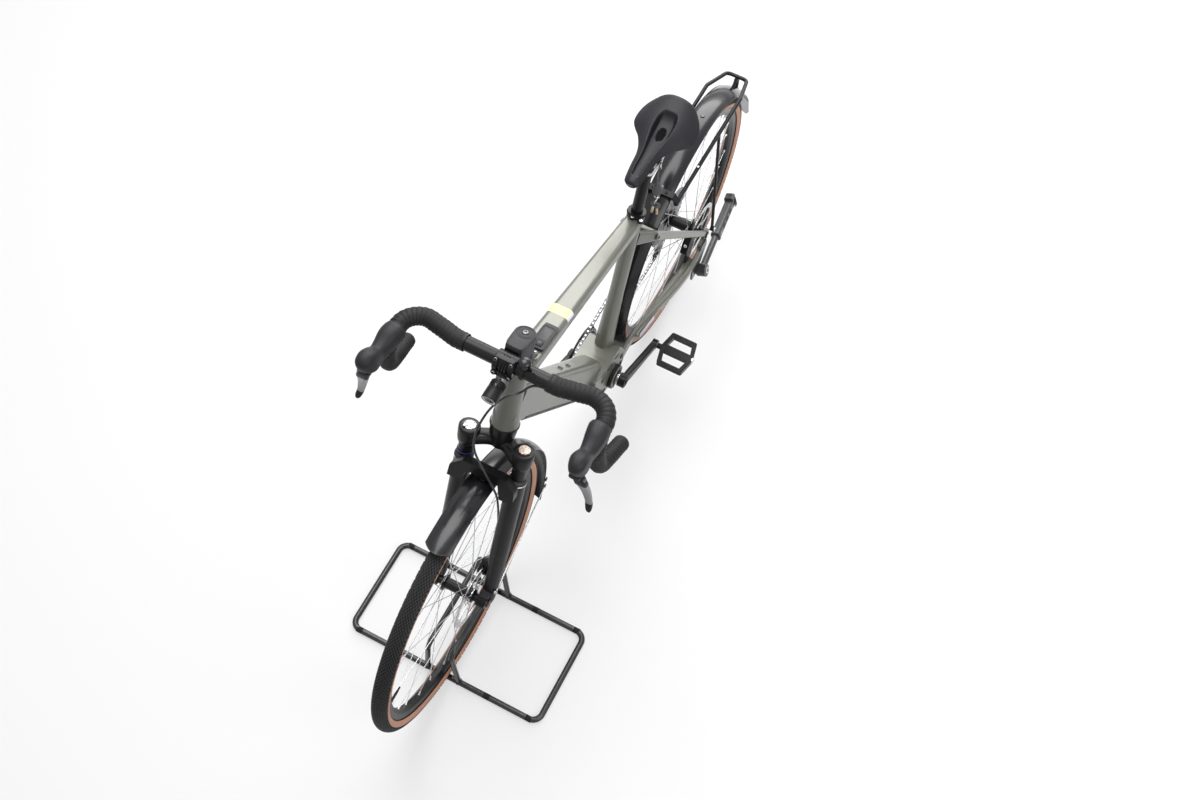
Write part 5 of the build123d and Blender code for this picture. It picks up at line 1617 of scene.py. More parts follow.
    def bracket(self) -> None:
        """Adds the motor's bolts, slots and boss rings around the bottom bracket."""
        c = self.places.bracket
        shell = Shell()
        for side in (1, -1):
            out = LEFT * side
            for x, z in ((-45, -9), (-47, 24), (8, 50), (58, 66), (98, 70), (84, 22), (47, -3)):
                spot = facing(c + Vector((x, side * 41.8, z)), out, AHEAD)
                shell.lathe(spot, ((0, 7.4), (0.9, 7.2), (1.4, 6.4)), 24, 0)
                shell.bolt(facing(c + Vector((x, side * 42.8, z)), out), 4.4, 2.0, 1)
            for x, z, turn in ((-20, 66, 0.5), (22, 75, 0.2)):
                slot = facing(c + Vector((x, side * 41.8, z)), out, upright(turn, 1.0))
                shell.slab(slot, rounded_box(26, 7, 3.4), 0.9, 0.3, 0)
            boss = facing(c + LEFT * (side * 52.4), out)
            profile = [(0, 31.5), (1.6, 31.0), (2.2, 29.5), (2.2, 25.0), (1.0, 24.2), (1.0, 20.5)]
            shell.lathe(boss, profile + [(2.8, 19.5), (3.0, 13.5)], 48, 3)
            shell.lathe(boss, ((0, 20.8), (2.4, 20.6), (3.2, 19.4), (3.2, 13.0)), 40, 2)
            for k in range(8):
                turn = tau * k / 8 + 0.2
                spot = boss @ Vector((27.2 * cos(turn), 27.2 * sin(turn), 2.0))
                shell.bolt(facing(spot, out), 2.2, 1.2, 1)
        finishes = (BLACK_METAL, DARK_STEEL, BLACK_PLASTIC, PAINT)
        shell.piece("motor_mount_bolts", self.body, "black_metal", finishes, 35)

    def motor(self) -> None:
        """Builds the motor's ribbed case and its two bracket bosses."""
        c = self.places.bracket
        spots = ((-40, -30), (48, -33), (79, -5), (112, 33), (70, 82), (-10, 60), (-44, 20))
        corners = [Vector(v) for v in spots]
        outline = []
        for k, corner in enumerate(corners):
            start = corner + (corners[k - 1] - corner).normalized() * 12
            end = corner + (corners[(k + 1) % len(corners)] - corner).normalized() * 12
            for step in range(7):
                t = step / 6
                outline.append(start * (1 - t) ** 2 + corner * (2 * t * (1 - t)) + end * t * t)
        middle = Vector((25, 22))
        levels = [(-36.0, 0.94), (-34.5, 0.98), (-32.0, 1.0)]
        for y in range(-28, 29, 8):
            levels += [(y - 2.6, 1.0), (y - 1.8, 0.965), (y + 1.8, 0.965), (y + 2.6, 1.0)]
        levels += [(32.0, 1.0), (34.5, 0.98), (36.0, 0.94)]
        shell = Shell()
        rings = []
        for y, share in levels:
            spots = [middle + (spot - middle) * share for spot in outline]
            rings.append([c + Vector((spot.x, y, spot.y)) for spot in spots])
        shell.skin(rings)
        for side in (1, -1):
            boss = facing(c + LEFT * (side * 35), LEFT * side)
            shell.lathe(boss, ((0, 14.5), (0, 32), (17, 32), (18, 31), (18, 14.5)), 48, loop=True)
        shell.piece(
            "motor_case", self.body, "black_plastic", BLACK_PLASTIC, 30, replaces=("motor",)
        )

    def module(self) -> None:
        """Finishes the control module and the cable port in front of it."""
        shell = Shell()
        place = self.on_top(479.0, 9.0, 7.6)
        rows = []
        for inset, radius, height in (
            (0, 6, -5.0), (0, 6, 1.2), (1.4, 5.4, 1.9), (6, 4.4, 1.9), (8, 4, 0.9), (10, 3.4, 0.9),
        ):
            outline = rounded_box(71 - inset, 33 - inset, radius, 40)
            rows.append([place @ Vector((x, y, height)) for x, y in outline])
        shell.skin(rows, mark=0)
        shell.slab(place @ Matrix.Translation((-9, 0, 0.8)), rounded_box(37, 19, 2.5), 0.5, 0.2, 1)
        shell.slab(
            place @ Matrix.Translation((20.5, 0, 0.8)), rounded_box(17, 17, 3.2), 2.0, 0.8, 2
        )
        shell.slab(place @ Matrix.Translation((20.5, 0, 2.7)), rounded_box(9, 9, 2.2), 0.5, 0.2, 1)
        finishes = (GREY_PLASTIC, SCREEN, BLACK_PLASTIC)
        shell.piece("control_panel", self.body, "black_plastic", finishes, 35)
        port = Shell()
        spot = self.on_top(527.0, 12.0, 0.0)
        port.slab(spot @ Matrix.Translation((0, 0, -3)), rounded_box(26, 27, 6), 6.0, 2.0, 0)
        for y in (-6, 6):
            port.slab(
                spot @ Matrix.Translation((3, y, 2.4)), rounded_box(13, 6.5, 2.6), 1.1, 0.3, 1
            )
        port.bolt(spot @ Matrix.Translation((-8.5, 0, 2.6)), 3.0, 1.2, 2)
        port.piece("cable_port", self.body, "frame_paint", (PAINT, BLACK_PLASTIC, STEEL), 40)

    def bosses(self) -> None:
        """Puts bolts in the bottle bosses and seat stays, and rings on the head tube."""
        p = self.places
        shell = Shell()
        boss = self.down_start + self.down_way * self.boss_along
        for along in (-32, 32):
            spot = boss + self.down_way * along + self.down_up * 51
            trim = facing(spot - self.down_up * 2.4, self.down_up)
            shell.lathe(trim, ((0, 6.0), (1.6, 5.8), (2.0, 5.0)), 24, 2)
            shell.bolt(facing(spot - self.down_up * 0.9, self.down_up), 3.4, 1.2, 2)
        for side in (1, -1):
            spot = p.at(262, side * 46.4, 660)
            shell.lathe(facing(spot, LEFT * side), ((-1, 9.0), (1.2, 8.6), (1.8, 7.4)), 28, 2)
            shell.bolt(facing(spot + LEFT * (side * 1.4), LEFT * side), 4.4, 2.0, 1)
        shell.piece("boss_bolts", self.body, "steel", (STEEL, BLACK_METAL, PAINT), 40)
        rings = Shell()
        low = facing(p.steer(self.head_bottom - 0.2), p.steer_up)
        rings.lathe(low, ((0, 31.4), (0.4, 32.0), (3.2, 31.9), (4.0, 31.0)), 64, 0)
        high = facing(p.steer(self.head_top - 4.5), p.steer_up)
        rings.lathe(high, ((0, 28.2), (0.8, 28.9), (4.0, 28.9), (4.6, 28.0)), 64, 0)
        rings.piece("head_tube_rings", self.body, "black_metal", BLACK_METAL, 35)

    def build(self) -> None:
        """Builds the frame's trim."""
        self.labels()
        self.stays()
        self.battery_cover()
        self.bracket()
        self.motor()
        self.module()
        self.bosses()


# ---------------------------------------------------------------- fork and mudguards
@dataclass
class Fork:
    """Caps, crown, leg ends and seals of the suspension fork, in millimetres.

    Attributes:
        places: the bicycle's main points.
        body: the CAD body that these ride on.
        leg_out: the legs' distance ahead of the steering axis.
        leg_half: a leg's distance from the middle.
        crown_top: top of the crown, up the steering axis.
        lower_top: top of the lowers, up the steering axis.
    """

    places: Places
    body: str = "front_end"
    leg_out: float = 26.0
    leg_half: float = 63.5
    crown_top: float = 454.0
    lower_top: float = 380.0

    def leg_frame(self, up: float, side: int) -> Matrix:
        """Frame on a leg's axis: z up the leg, x ahead."""
        p = self.places
        return facing(p.steer(up, self.leg_out, side * self.leg_half), p.steer_up, p.steer_out)

    def caps(self) -> None:
        """Sets the damper and spring caps on top of the crown."""
        for name, side, finish in (("right", -1, CAP_SILVER), ("left", 1, COPPER)):
            shell = Shell()
            top = self.leg_frame(self.crown_top + 8.6, side)
            profile = [(-44, 18.0), (-40, 20.6), (-30, 22.4), (-12, 23.4), (-2, 23.4), (0.4, 22.4)]
            shell.lathe(top, profile + [(1.2, 20.4), (1.2, 14.6), (0.2, 14.0)], 48, 1)
            if side < 0:
                dial = ((0.4, 14.2), (2.2, 13.8), (3.0, 12.6), (3.0, 5.0), (2.0, 4.2), (2.0, 3.6))
                shell.lathe(top, dial, 48, 0)
                for turn in (0.5, 2.6, 4.7):
                    mark = top @ Matrix.Rotation(turn, 4, "Z") @ Matrix.Translation((9.2, 0, 2.9))
                    shell.slab(mark, rounded_box(4.6, 2.6, 1.2), 0.35, 0.1, 1)
                lever = top @ Matrix.Rotation(-0.6, 4, "Z") @ Matrix.Translation((10, 0, 2.8))
                shell.slab(lever, rounded_box(13, 6.5, 3), 3.4, 1.0, 0)
            else:
                knob = [(0.4, 12.4), (1.0, 13.2), (5.6, 12.8), (6.6, 11.6), (6.6, 9.5), (5.8, 8.8)]
                shell.lathe(top, knob + [(5.8, 4.4), (6.9, 3.8)], 48, 0)
                for k in range(10):
                    rib = top @ Matrix.Rotation(tau * k / 10, 4, "Z")
                    rib = rib @ Matrix.Translation((12.2, 0, 0.8))
                    shell.slab(rib, rounded_box(2.6, 3.4, 1.0), 5.0, 0.8, 0)
                shell.slab(
                    top @ Matrix.Translation((0, 0, 6.2)), rounded_box(15, 3.0, 1.4), 1.0, 0.3, 0
                )
            shell.piece(f"fork_cap_{name}", self.body, "alloy", (finish, BLACK_METAL), 35)

    def crown(self) -> None:
        """Fairs the crown's arms from the steerer out to the legs."""
        p = self.places
        shell = Shell()
        for side in (1, -1):
            rings = []
            for k in range(15):
                t = k / 14
                out = self.leg_out * smooth_step(t * 1.15) + 2
                spot = p.steer(self.crown_top - 14 - 3 * t * t, out, side * (6 + 54 * t))
                deep, tall = 40 - 8 * t, 27 - 3 * sin(pi * t)
                outline = rounded_box(deep, tall, 9.5, 32)
                rings.append([spot + p.steer_out * x + p.steer_up * z for x, z in outline])
            shell.skin(rings)
        shell.piece("crown_fairing", self.body, "black_metal", BLACK_METAL, 50)

    def seals(self) -> None:
        """Fits the wiper seals and the travel ring."""
        p = self.places
        shell = Shell()
        wiper = ((-4, 20.9), (0.0, 20.9), (2.0, 20.2), (5.0, 18.4), (6.4, 17.0), (6.4, 16.1))
        for side in (1, -1):
            top = self.leg_frame(self.lower_top - 0.4, side)
            shell.lathe(top, wiper, 48, 0)
            shell.lathe(top, ((-6.6, 20.8), (-6.2, 21.2), (-4.6, 21.2), (-4.2, 20.8)), 48, 1)
        ring = facing(p.steer(self.lower_top + 14, self.leg_out, -self.leg_half), p.steer_up)
        shell.tube(circle(ring, 17.0, 40), 1.0, 10, 2)
        shell.piece("fork_seals", self.body, "black_metal", (SEAL, STEEL, BLUE_RING), 40)

    def feet(self) -> None:
        """Rounds the legs' lower ends off past the axle."""
        p = self.places
        shell = Shell()
        levels = [(150, 20.2), (105, 19.6), (60, 18.8), (20, 18.2), (-2, 17.6), (-12, 16.0)]
        levels += [(-18, 12.8), (-21.5, 7.8), (-22.6, 2.0)]
        for side in (1, -1):
            rings = []
            for up, reach in levels:
                out = self.leg_out + 4 * smooth_step((40 - up) / 50)
                centre = p.steer(up, out, side * self.leg_half)
                outline = oval(reach, 0.94 * reach, 40)
                rings.append([centre + p.steer_out * x + LEFT * y for x, y in outline])
            shell.skin(rings)
        shell.piece("fork_leg_ends", self.body, "black_metal", BLACK_METAL, 50)

    def axle_ends(self) -> None:
        """Caps both axles' ends."""
        p = self.places
        for name, body, centre, reach in (
            ("front_axle_caps", self.body, p.front_axle, 75.4),
            ("rear_axle_caps", "frame", p.rear_axle, 83.4),
        ):
            shell = Shell()
            for side in (1, -1):
                tip = facing(centre + LEFT * (side * reach), LEFT * side)
                cap = ((-1.5, 9.6), (1.2, 9.6), (2.0, 8.6), (2.0, 4.0), (0.8, 4.0), (0.6, 0.6))
                shell.lathe(tip, cap, 36, 0, hexagon=(3, 4))
            shell.piece(name, body, "black_metal", BLACK_METAL, 35)

    def build(self) -> None:
        """Builds the fork's pieces."""
        self.caps()
        self.crown()
        self.feet()
        self.seals()
        self.axle_ends()


@dataclass
class Guards:
    """Rolled edges, bolts, clamps and flap of the mudguards, in millimetres.

    Attributes:
        places: the bicycle's main points.
        edge_radius: radius of the guards' edges from the axle.
        crown_radius: radius of their middle from the axle.
        half_width: half of their width.
        rim_steps: steps across a guard.
        flap_start: angle round the rear wheel where the flap starts, in degrees.
        flap_end: angle where it ends.
    """

    places: Places
    edge_radius: float = 360.0
    crown_radius: float = 369.0
    half_width: float = 30.0
    rim_steps: int = 16
    flap_start: float = 154.4
    flap_end: float = 171.0

    def round_wheel(self, centre: Vector, turn: float, radius: float, y: float = 0.0) -> Vector:
        """Point at an angle round a wheel, in degrees up from forward."""
        return centre + upright(radians(turn), radius, y)

    def across(self, half: float) -> list[float]:
        """Places across a guard of a half width, from right to left."""
        middle = self.rim_steps / 2
        return [half * (k - middle) / middle for k in range(self.rim_steps + 1)]

    def rolled_edges(
        self, name: str, body: str, centre: Vector, first: float, last: float, tongue: float = 0.0,
    ) -> None:
        """Rolls a bead along the guard's two edges and ends, and rounds its first end.

        Args:
            name: the piece's name.
            body: the body that the guard is on.
            centre: the wheel's axle.
            first: the guard's first angle, in degrees.
            last: its last angle.
            tongue: how far its first end bows out at the middle, in degrees.
        """
        shell = Shell()
        count = int((last - first) / 1.6)
        turns = [first + (last - first) * k / count for k in range(count + 1)]
        for side in (1, -1):
            y = side * (self.half_width - 0.6)
            edge = [self.round_wheel(centre, turn, self.edge_radius + 0.3, y) for turn in turns]
            shell.tube(edge, 1.25, 8)
        high = self.crown_radius - self.edge_radius
        for turn, reach in ((first + 0.1, tongue), (last - 0.1, 0.0)):
            lip = []
            for y in [0.99 * y for y in self.across(self.half_width)]:
                bow = 1 - (y / self.half_width) ** 2
                radius = self.edge_radius + high * bow - 0.4
                lip.append(self.round_wheel(centre, turn - reach * bow, radius, y))
            shell.tube(lip, 1.2, 8)
        rows = []
        for step in range(5 if tongue else 0):
            row = []
            for lift, order in ((0.4, 1), (-1.1, -1)):
                for y in [order * 0.99 * y for y in self.across(self.half_width)]:
                    bow = 1 - (y / self.half_width) ** 2
                    turn = first + 0.4 - (0.4 + tongue * bow) * step / 4
                    radius = self.edge_radius + high * bow + lift
                    row.append(self.round_wheel(centre, turn, radius, y))
            rows.append(row)
        if rows:
            shell.skin(rows)
        shell.piece(name, body, "black_plastic", GLOSS_PLASTIC, 50)

    def bolts(self) -> None:
        """Adds the guards' bolts, bridges and stay clamps."""
        p = self.places
        rear = Shell()
        for turn in (99.5, 66.0, 33.0, 146.0):
            out = upright(radians(turn), 1.0)
            washer = facing(p.rear_axle + out * (self.crown_radius - 0.3), out)
            rear.lathe(washer, ((0, 5.4), (0.8, 5.2), (1.2, 4.4)), 24, 0)
            rear.bolt(facing(p.rear_axle + out * (self.crown_radius + 0.5), out), 3.6, 1.9, 1)
        rear.piece("rear_guard_bolts", "frame", "steel", (BLACK_PLASTIC, DARK_STEEL), 40)
        front = Shell()
        out = upright(radians(111.0), 1.0)
        washer = facing(p.front_axle + out * (self.crown_radius - 0.3), out)
        front.lathe(washer, ((0, 8), (1.4, 7.6), (2.0, 6.4)), 24, 0)
        for turn in (195.0, 190.5):
            for side in (1, -1):
                spot = self.round_wheel(p.front_axle, turn, self.edge_radius + 3, side * 31.0)
                out = LEFT * side
                front.slab(facing(spot, out, UP), rounded_box(13, 9, 3), 2.6, 0.9, 0)
                front.bolt(facing(spot + out * 2.4, out), 2.8, 1.4, 1)
        front.piece("front_guard_bolts", "front_end", "steel", (BLACK_PLASTIC, STEEL), 40)

    def flap(self) -> None:
        """Replaces the rear flap with a thin see-through one."""
        p = self.places
        shell = Shell()
        rings = []
        for k in range(23):
            t = k / 22
            turn = self.flap_start + (self.flap_end - self.flap_start) * t
            half = (self.half_width - 1.0) * (1 - 0.32 * max(0.0, (t - 0.72) / 0.28) ** 2.2)
            ring = []
            for rise, order in ((1.0, 1), (-0.6, -1)):
                for y in self.across(half * order):
                    crown = self.crown_radius - self.edge_radius
                    crown *= 1 - (y / self.half_width) ** 2
                    wave = 0.7 * sin(t * 9.0) * (abs(y) / half)
                    radius = self.edge_radius + crown + rise + wave - 0.7 * (1 - t)
                    ring.append(self.round_wheel(p.rear_axle, turn, radius, y))
            rings.append(ring)
        shell.skin(rings)
        shell.piece(
            "rear_flap", "frame", "black_plastic", [FLAP], 60, replaces=("rear_mudguard_flap",)
        )

    def build(self) -> None:
        """Builds the guards' pieces."""
        p = self.places
        self.rolled_edges("front_guard_edge", "front_end", p.front_axle, 82.0, 203.0, 2.4)
        self.rolled_edges("rear_guard_edge", "frame", p.rear_axle, -8.0, 156.0)
        self.bolts()
        self.flap()


# ---------------------------------------------------------------- drive and fittings
@dataclass
class Drive:
    """Chain links, crank bolts and pedal pins, in millimetres.

    Attributes:
        places: the bicycle's main points.
        chain_side: the chain's distance to the right.
        pitch: spacing of the chain's pins.
        ring_teeth: teeth of the chainring.
        cog_teeth: teeth of the cog that the chain is on.
        pulley_teeth: teeth of each pulley.
        crank_length: from the bracket's middle to a pedal's.
        crank_drop: how far the left crank points below the rear, in degrees.
    """

    places: Places
    chain_side: float = 48.0
    pitch: float = 12.7
    ring_teeth: int = 42
    cog_teeth: int = 19
    pulley_teeth: int = 12
    crank_length: float = 172.5
    crank_drop: float = 19.6

    def wheel_radius(self, teeth: int) -> float:
        """Radius at which the chain's pins run."""
        return self.pitch / (2 * sin(pi / teeth))

    def path(self) -> list[Vector]:
        """Chain's line, sampled at every pin."""
        p = self.places
        wheels = [
            (p.bracket, self.wheel_radius(self.ring_teeth), 1),
            (p.at(-8, 0, p.rear_axle.z - 178), self.wheel_radius(self.pulley_teeth), 1),
            (p.at(12, 0, p.rear_axle.z - 88), self.wheel_radius(self.pulley_teeth), -1),
            (p.rear_axle, self.wheel_radius(self.cog_teeth), 1),
        ]
        points: list[Vector] = []
        joins = []
        for (a, ra, sa), (b, rb, sb) in zip(wheels, wheels[1:] + wheels[:1]):
            run = Vector((b.x - a.x, b.z - a.z))
            base = math.atan2(run.y, run.x)
            normal = base + pi / 2 - math.asin((sa * ra - sb * rb) / run.length)
            side = Vector((cos(normal), sin(normal)))
            start, end = Vector((a.x, a.z)), Vector((b.x, b.z))
            joins.append((start + side * (sa * ra), end + side * (sb * rb)))
        for number, (start, end) in enumerate(joins):
            points += [start.lerp(end, k / 40) for k in range(40)]
            centre, radius, sense = wheels[(number + 1) % 4]
            mid = Vector((centre.x, centre.z))
            leave = joins[(number + 1) % 4][0]
            a = math.atan2(end.y - mid.y, end.x - mid.x)
            b = math.atan2(leave.y - mid.y, leave.x - mid.x)
            sweep = (a - b) % tau * -1 if sense > 0 else (b - a) % tau
            turns = [a + sweep * k / 30 for k in range(30)]
            points += [mid + Vector((cos(t), sin(t))) * radius for t in turns]
        points.append(points[0])
        total = sum((b - a).length for a, b in zip(points, points[1:]))
        count = 2 * round(total / self.pitch / 2)
        spaced, run, place = [], 0.0, 0
        for k in range(count):
            target = total * k / count
            while run + (points[place + 1] - points[place]).length < target:
                run += (points[place + 1] - points[place]).length
                place += 1
            step = (points[place + 1] - points[place]).length
            spot = points[place].lerp(points[place + 1], (target - run) / step)
            spaced.append(Vector((spot.x, -self.chain_side, spot.y)))
        return spaced

    def chain(self) -> None:
        """Builds the chain from inner and outer links with rollers and pins."""
        pins = self.path()
        shell = Shell()
        for number, (a, b) in enumerate(zip(pins, pins[1:] + pins[:1])):
            along = (b - a).normalized()
            near = 2.75 if number % 2 else 1.75
            outline = []
            for k in range(16):
                turn = tau * k / 16
                x, z = cos(turn), sin(turn)
                waist = 3.9 if abs(x) > 0.2 else 2.9
                shift = math.copysign(self.pitch / 2, x) if abs(x) > 0.01 else 0
                outline.append((shift + x * 3.7, z * waist))
            mid = (a + b) / 2
            for side in (1, -1):
                place = facing(mid + LEFT * (side * near), LEFT * side, along)
                shell.slab(place, outline, 0.9, 0.25, 0)
            pin = ((0, 1.5), (0.2, 1.9), (7.6, 1.9), (7.8, 1.5))
            shell.lathe(facing(a - LEFT * 3.9, LEFT), pin, 10, 1)
            shell.lathe(facing(a - LEFT * 1.7, LEFT), ((0, 3.6), (3.4, 3.6)), 12, 1)
        shell.piece("chain_links", "frame", "steel", (DARK_STEEL, STEEL), 35, replaces=("chain",))

    def crank_way(self) -> Vector:
        """Direction from the bracket to the left pedal."""
        lean = radians(self.crank_drop)
        return Vector((-cos(lean), 0, -sin(lean)))

    def eye(self, side: int) -> Vector:
        """Middle of a pedal, in the plane of the frame."""
        return self.places.bracket + self.crank_way() * (self.crank_length * side)

    def cranks(self) -> None:
        """Caps the crank bolts and the pedals' threads, and fairs the crank arms."""
        bracket, way = self.places.bracket, self.crank_way()
        shell = Shell()
        cap = [(-1, 15.6), (0.8, 15.4), (1.6, 14.2), (1.6, 11.6), (0.4, 11.0), (0.4, 6.0)]
        cap += [(-2.0, 5.6), (-2.2, 0.6)]
        for side in (1, -1):
            end = facing(bracket + LEFT * (side * 79.8), LEFT * side)
            shell.lathe(end, cap, 40, 0, hexagon=(5, 6))
        for side in (1, -1):
            end = facing(self.eye(side) + LEFT * (side * 90.6), LEFT * side)
            shell.lathe(end, ((0, 10.2), (1.4, 10.0), (2.2, 8.6)), 28, 1)
        shell.piece("crank_bolts", "crank", "black_metal", (BLACK_METAL, DARK_STEEL), 35)
        arms = Shell()
        across = Vector((-way.z, 0, way.x))
        widths = [(0.085, 27), (0.13, 30), (0.25, 30), (0.45, 27), (0.7, 24.5), (0.9, 25)]
        for side in (1, -1):
            rings = []
            for t, wide in widths + [(0.97, 23), (1.0, 17)]:
                spot = bracket + way * (self.crank_length * side * t)
                spot += LEFT * (side * (72.6 + 10.8 * smooth_step(t)))
                spot += across * (2.6 * sin(tau * t) * side)
                outline = rounded_box(wide, 15.6, 5.0, 24)
                rings.append([spot + across * x + LEFT * y for x, y in outline])
            arms.skin(rings)
        arms.piece("crank_arm_shells", "crank", "black_metal", BLACK_METAL, 50)

    def pedals(self) -> None:
        """Adds the pedals' pins, ridges and end caps."""
        pin = ((-1, 2.1), (1.8, 2.1), (2.4, 1.5))
        spots = [(x, y) for y in (114, 126, 138, 156, 168, 180) for x in (-44, 44)]
        spots += [(-22, 109), (22, 109), (-22, 185), (22, 185)]
        for name, side in SIDES:
            eye = self.eye(side)
            pedal = Shell()
            for face in (1, -1):
                for x, y in spots:
                    spot = facing(eye + Vector((x, side * y, face * 7.6)), UP * face)
                    pedal.lathe(spot, pin, 10, 0)
            for way in (1, -1):
                for k in range(13):
                    y = side * (116 + 5.2 * k)
                    ridge = facing(eye + Vector((way * 48.6, y, 0)), AHEAD * way, UP)
                    pedal.slab(ridge, rounded_box(13, 2.6, 1.0), 1.3, 0.5, 0)
            cap = facing(eye + LEFT * (side * 191.4), LEFT * side)
            pedal.lathe(cap, ((-3, 9.2), (0.6, 9.0), (1.6, 7.6), (1.6, 3.0), (0.6, 2.6)), 28, 1)
            finishes = (BLACK_METAL, STEEL)
            pedal.piece(f"pedal_pins_{name}", f"pedal_{name}", "black_metal", finishes, 35)

    def build(self) -> None:
        """Builds the drive's pieces."""
        self.chain()
        self.cranks()
        self.pedals()


@dataclass
class Fittings:
    """Details of the carrier, kickstand, calipers and display stand, in millimetres.

    Attributes:
        places: the bicycle's main points.
        knuckle: the kickstand's pivot, ahead, to the left and up.
        foot: the middle of its foot.
        pivot_axis: direction of its pivot.
        stand_length: from the stand's front tube to its rear one.
    """

    places: Places
    knuckle: tuple[float, float, float] = (45, 100, 262)
    foot: tuple[float, float, float] = (-222, 67, 226)
    pivot_axis: tuple[float, float, float] = (-0.1463, 0.9277, 0.3375)
    stand_length: float = 248.0

    def carrier(self) -> None:
        """Adds the carrier's bolts, caps and the tail's rubber."""
        p = self.places
        shell = Shell()
        for side in (1, -1):
            spot = facing(p.at(-22, side * 91.2, 358), LEFT * side)
            shell.lathe(spot, ((-0.6, 7.6), (0.8, 7.6), (1.4, 6.8)), 24, 0)
            shell.bolt(facing(p.at(-22, side * 92.2, 358), LEFT * side), 5.0, 3.6, 1)
            rail = facing(p.at(154, side * 45, 675), Vector((1, 0, 0.03)))
            shell.lathe(rail, ((0, 5.6), (0.8, 6.4), (15, 6.4), (15.8, 5.6)), 24, 0)
            shell.bolt(facing(p.at(49, side * 45, 672.8 + 4.4), UP), 2.8, 1.2, 1 if side > 0 else 0)
        tail = facing(p.at(-286, 0, 616), Vector((0, 0, -1)))
        shell.lathe(tail, [(3 + 3.0 * k, 6.4 + 0.8 * (k % 2)) for k in range(12)], 24, 0)
        for y in (-17, 17):
            shell.bolt(facing(p.at(166, y, 697), UP), 3.8, 2.2, 0)
        shell.piece("carrier_fittings", "frame", "black_metal", (BLACK_METAL, STEEL), 38)

    def kickstand(self) -> None:
        """Adds the kickstand's pivot bolt, sleeve ribs and adjuster."""
        p = self.places
        knuckle, foot = p.at(*self.knuckle), p.at(*self.foot)
        axis = Vector(self.pivot_axis).normalized()
        leg = (foot - knuckle).normalized()
        length = (foot - knuckle).length
        shell = Shell()
        shell.bolt(facing(knuckle + axis * 13.6, axis), 9.0, 3.4, 1)
        shell.lathe(
            facing(knuckle + axis * 13.4, axis), ((0, 15.0), (1.0, 14.4), (1.4, 12.4)), 40, 0
        )
        start = facing(knuckle + leg * (length * 0.455), leg, axis)
        shell.skin([
            [start @ Vector((x, y, z)) for x, y in rounded_box(25.8 - e, 26.8 - e, 7.5 - e / 2, 32)]
            for z, e in ((0, 1.6), (1.0, 0.0), (7.0, 0.0), (8.0, 1.6))
        ])
        for k in range(3):
            ridge = facing(knuckle + leg * (length * (0.62 + 0.1 * k)) + axis * 11.7, axis, leg)
            shell.slab(ridge, rounded_box(17, 10, 3), 1.0, 0.4, 2)
        shell.bolt(facing(knuckle + leg * (length * 0.52) + axis * 11.8, axis), 3.6, 1.8, 1)
        sole = facing(foot - leg * 19, leg, axis)
        shell.skin([
            [
                sole @ Vector((x, y - 4, z))
                for x, y in rounded_box(24.0 - e, 30.0 - e, 6 - e / 2, 32)
            ]
            for z, e in ((6, 1.2), (7.0, 0.0), (14, 0.0), (17.5, 5.0))
        ], mark=2)
        for k in range(4):
            rib = facing(foot - leg * (13 - 3.6 * k) + axis * 13.0, axis, leg)
            shell.slab(rib @ Matrix.Translation((0, -4, 0)), rounded_box(1.6, 26, 0.7), 0.9, 0.3, 2)
        shell.piece(
            "kickstand_details", "kickstand", "black_metal", (KICK_METAL, STEEL, BLACK_PLASTIC), 38
        )

    def brakes(self) -> None:
        """Adds bolts and pad pins to both calipers."""
        p = self.places
        for name, body, centre, turn, face, inner in (
            ("front_caliper_bolts", "front_end", p.front_axle, 150.0, 43.2, 27.0),
            ("rear_caliper_bolts", "frame", p.rear_axle, 27.0, 67.0, 49.0),
        ):
            lean = radians(turn)
            along = upright(lean, 1.0)
            across = Vector((-sin(lean), 0, cos(lean)))
            mid = centre + along * 76
            shell = Shell()
            for side, y in ((1, face), (-1, inner)):
                out = LEFT * side
                if not (name.startswith("rear") and side > 0):
                    cap = facing(mid + LEFT * (y - side * 0.4) + along * 3, out)
                    shell.lathe(cap, ((0, 12.4), (1.4, 12.0), (2.0, 10.6)), 32, 0)
                    for shift in (-20, 20):
                        spot = mid + across * shift + LEFT * (y - side * 0.3) + along * 6
                        shell.bolt(facing(spot, out), 3.4, 2.2, 1)
            shell.bolt(
                facing(mid + along * 18.6 + Vector((0, (face + inner) / 2, 0)), along), 4.6, 3.6, 1
            )
            shell.piece(name, body, "black_metal", (BLACK_METAL, STEEL), 38)

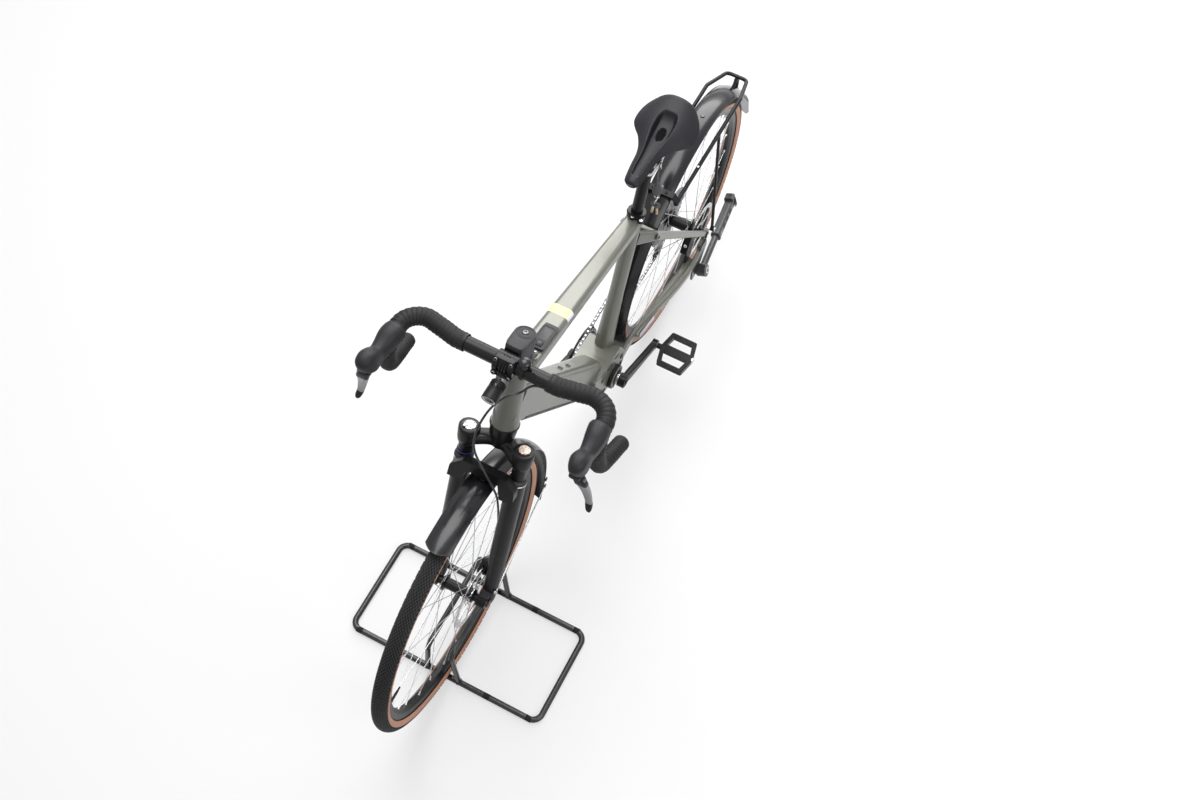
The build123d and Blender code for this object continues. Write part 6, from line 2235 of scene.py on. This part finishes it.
    def stand(self) -> None:
        """Adds the welds and rubber feet of the display stand."""
        p = self.places
        front = p.front_axle.x - p.rear_axle.x + math.sqrt(360.3**2 - 344.5**2)
        shell = Shell()
        for x in (front, front - self.stand_length):
            for side in (1, -1):
                weld = facing(p.at(x, side * 43, 7.5) + UP * 3, Vector((0, -side * 13, 178)))
                shell.lathe(weld, ((0, 9.4), (3.2, 9.0), (6.0, 7.2), (7.0, 6.7)), 28, 0)
                for y in (120, 235):
                    pad = facing(p.at(x, side * y - 8, 7.6), LEFT)
                    shell.lathe(pad, ((0, 7.5), (0.5, 7.62), (15.5, 7.62), (16, 7.5)), 28, 1)
        shell.piece("stand_welds", "front_end", "stand_paint", (STAND_PAINT, RUBBER), 40)

    def build(self) -> None:
        """Builds the fittings."""
        self.carrier()
        self.kickstand()
        self.brakes()
        self.stand()


# ---------------------------------------------------------------- carried-over pieces
def carried() -> dict[str, Finish]:
    """Finish of each CAD piece that shows as it is."""
    table = {
        PAINT: ("main_frame", "chain_stays", "seat_stays"),
        BLACK_METAL: (
            "front_rim", "rear_rim", "front_hub", "rear_hub", "chain_guard", "crank_arm_left",
            "crank_arm_right", "pedal_left", "pedal_right", "seat_collar", "seatpost", "fork_crown",
            "fork_stanchions", "fork_lowers", "stem", "handlebar", "front_brake_caliper",
            "rear_brake_caliper", "rear_derailleur", "carrier",
        ),
        BLACK_PLASTIC: ("bell",),
        GLOSS_PLASTIC: ("front_mudguard", "rear_mudguard"),
        STEM_PLASTIC: ("stem_cover", "control_module"),
        KICK_METAL: ("kickstand_mount", "kickstand"),
        STAND_PAINT: ("display_stand",),
        STEEL: (
            "front_spokes", "rear_spokes", "front_brake_disc", "rear_brake_disc", "front_axle",
            "rear_axle", "crank_spindle", "saddle_rails", "front_mudguard_stays",
        ),
        DARK_STEEL: ("cassette", "chainring"),
    }
    return {name: finish for finish, names in table.items() for name in names}


def dress_carried() -> None:
    """Gives each CAD piece that shows its finish."""
    for name, finish in carried().items():
        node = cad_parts[name]
        node.data.materials.clear()
        node.data.materials.append(finish.material())
        LOG.info("dressed %s as %s", name, finish.name)


def main() -> None:
    """Builds the studio and every piece."""
    logging.basicConfig(level=logging.INFO, format="%(message)s")
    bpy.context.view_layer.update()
    Studio().build()
    places = Places()
    Cockpit(places).build()
    for end, centre in (("front", places.front_axle), ("rear", places.rear_axle)):
        Wheel(end, centre).build()
    seat = Seat(places)
    seat.build()
    FrameTrim(places, seat).build()
    Fork(places).build()
    Guards(places).build()
    Drive(places).build()
    Fittings(places).build()
    dress_carried()


if __name__ == "__main__":
    main()
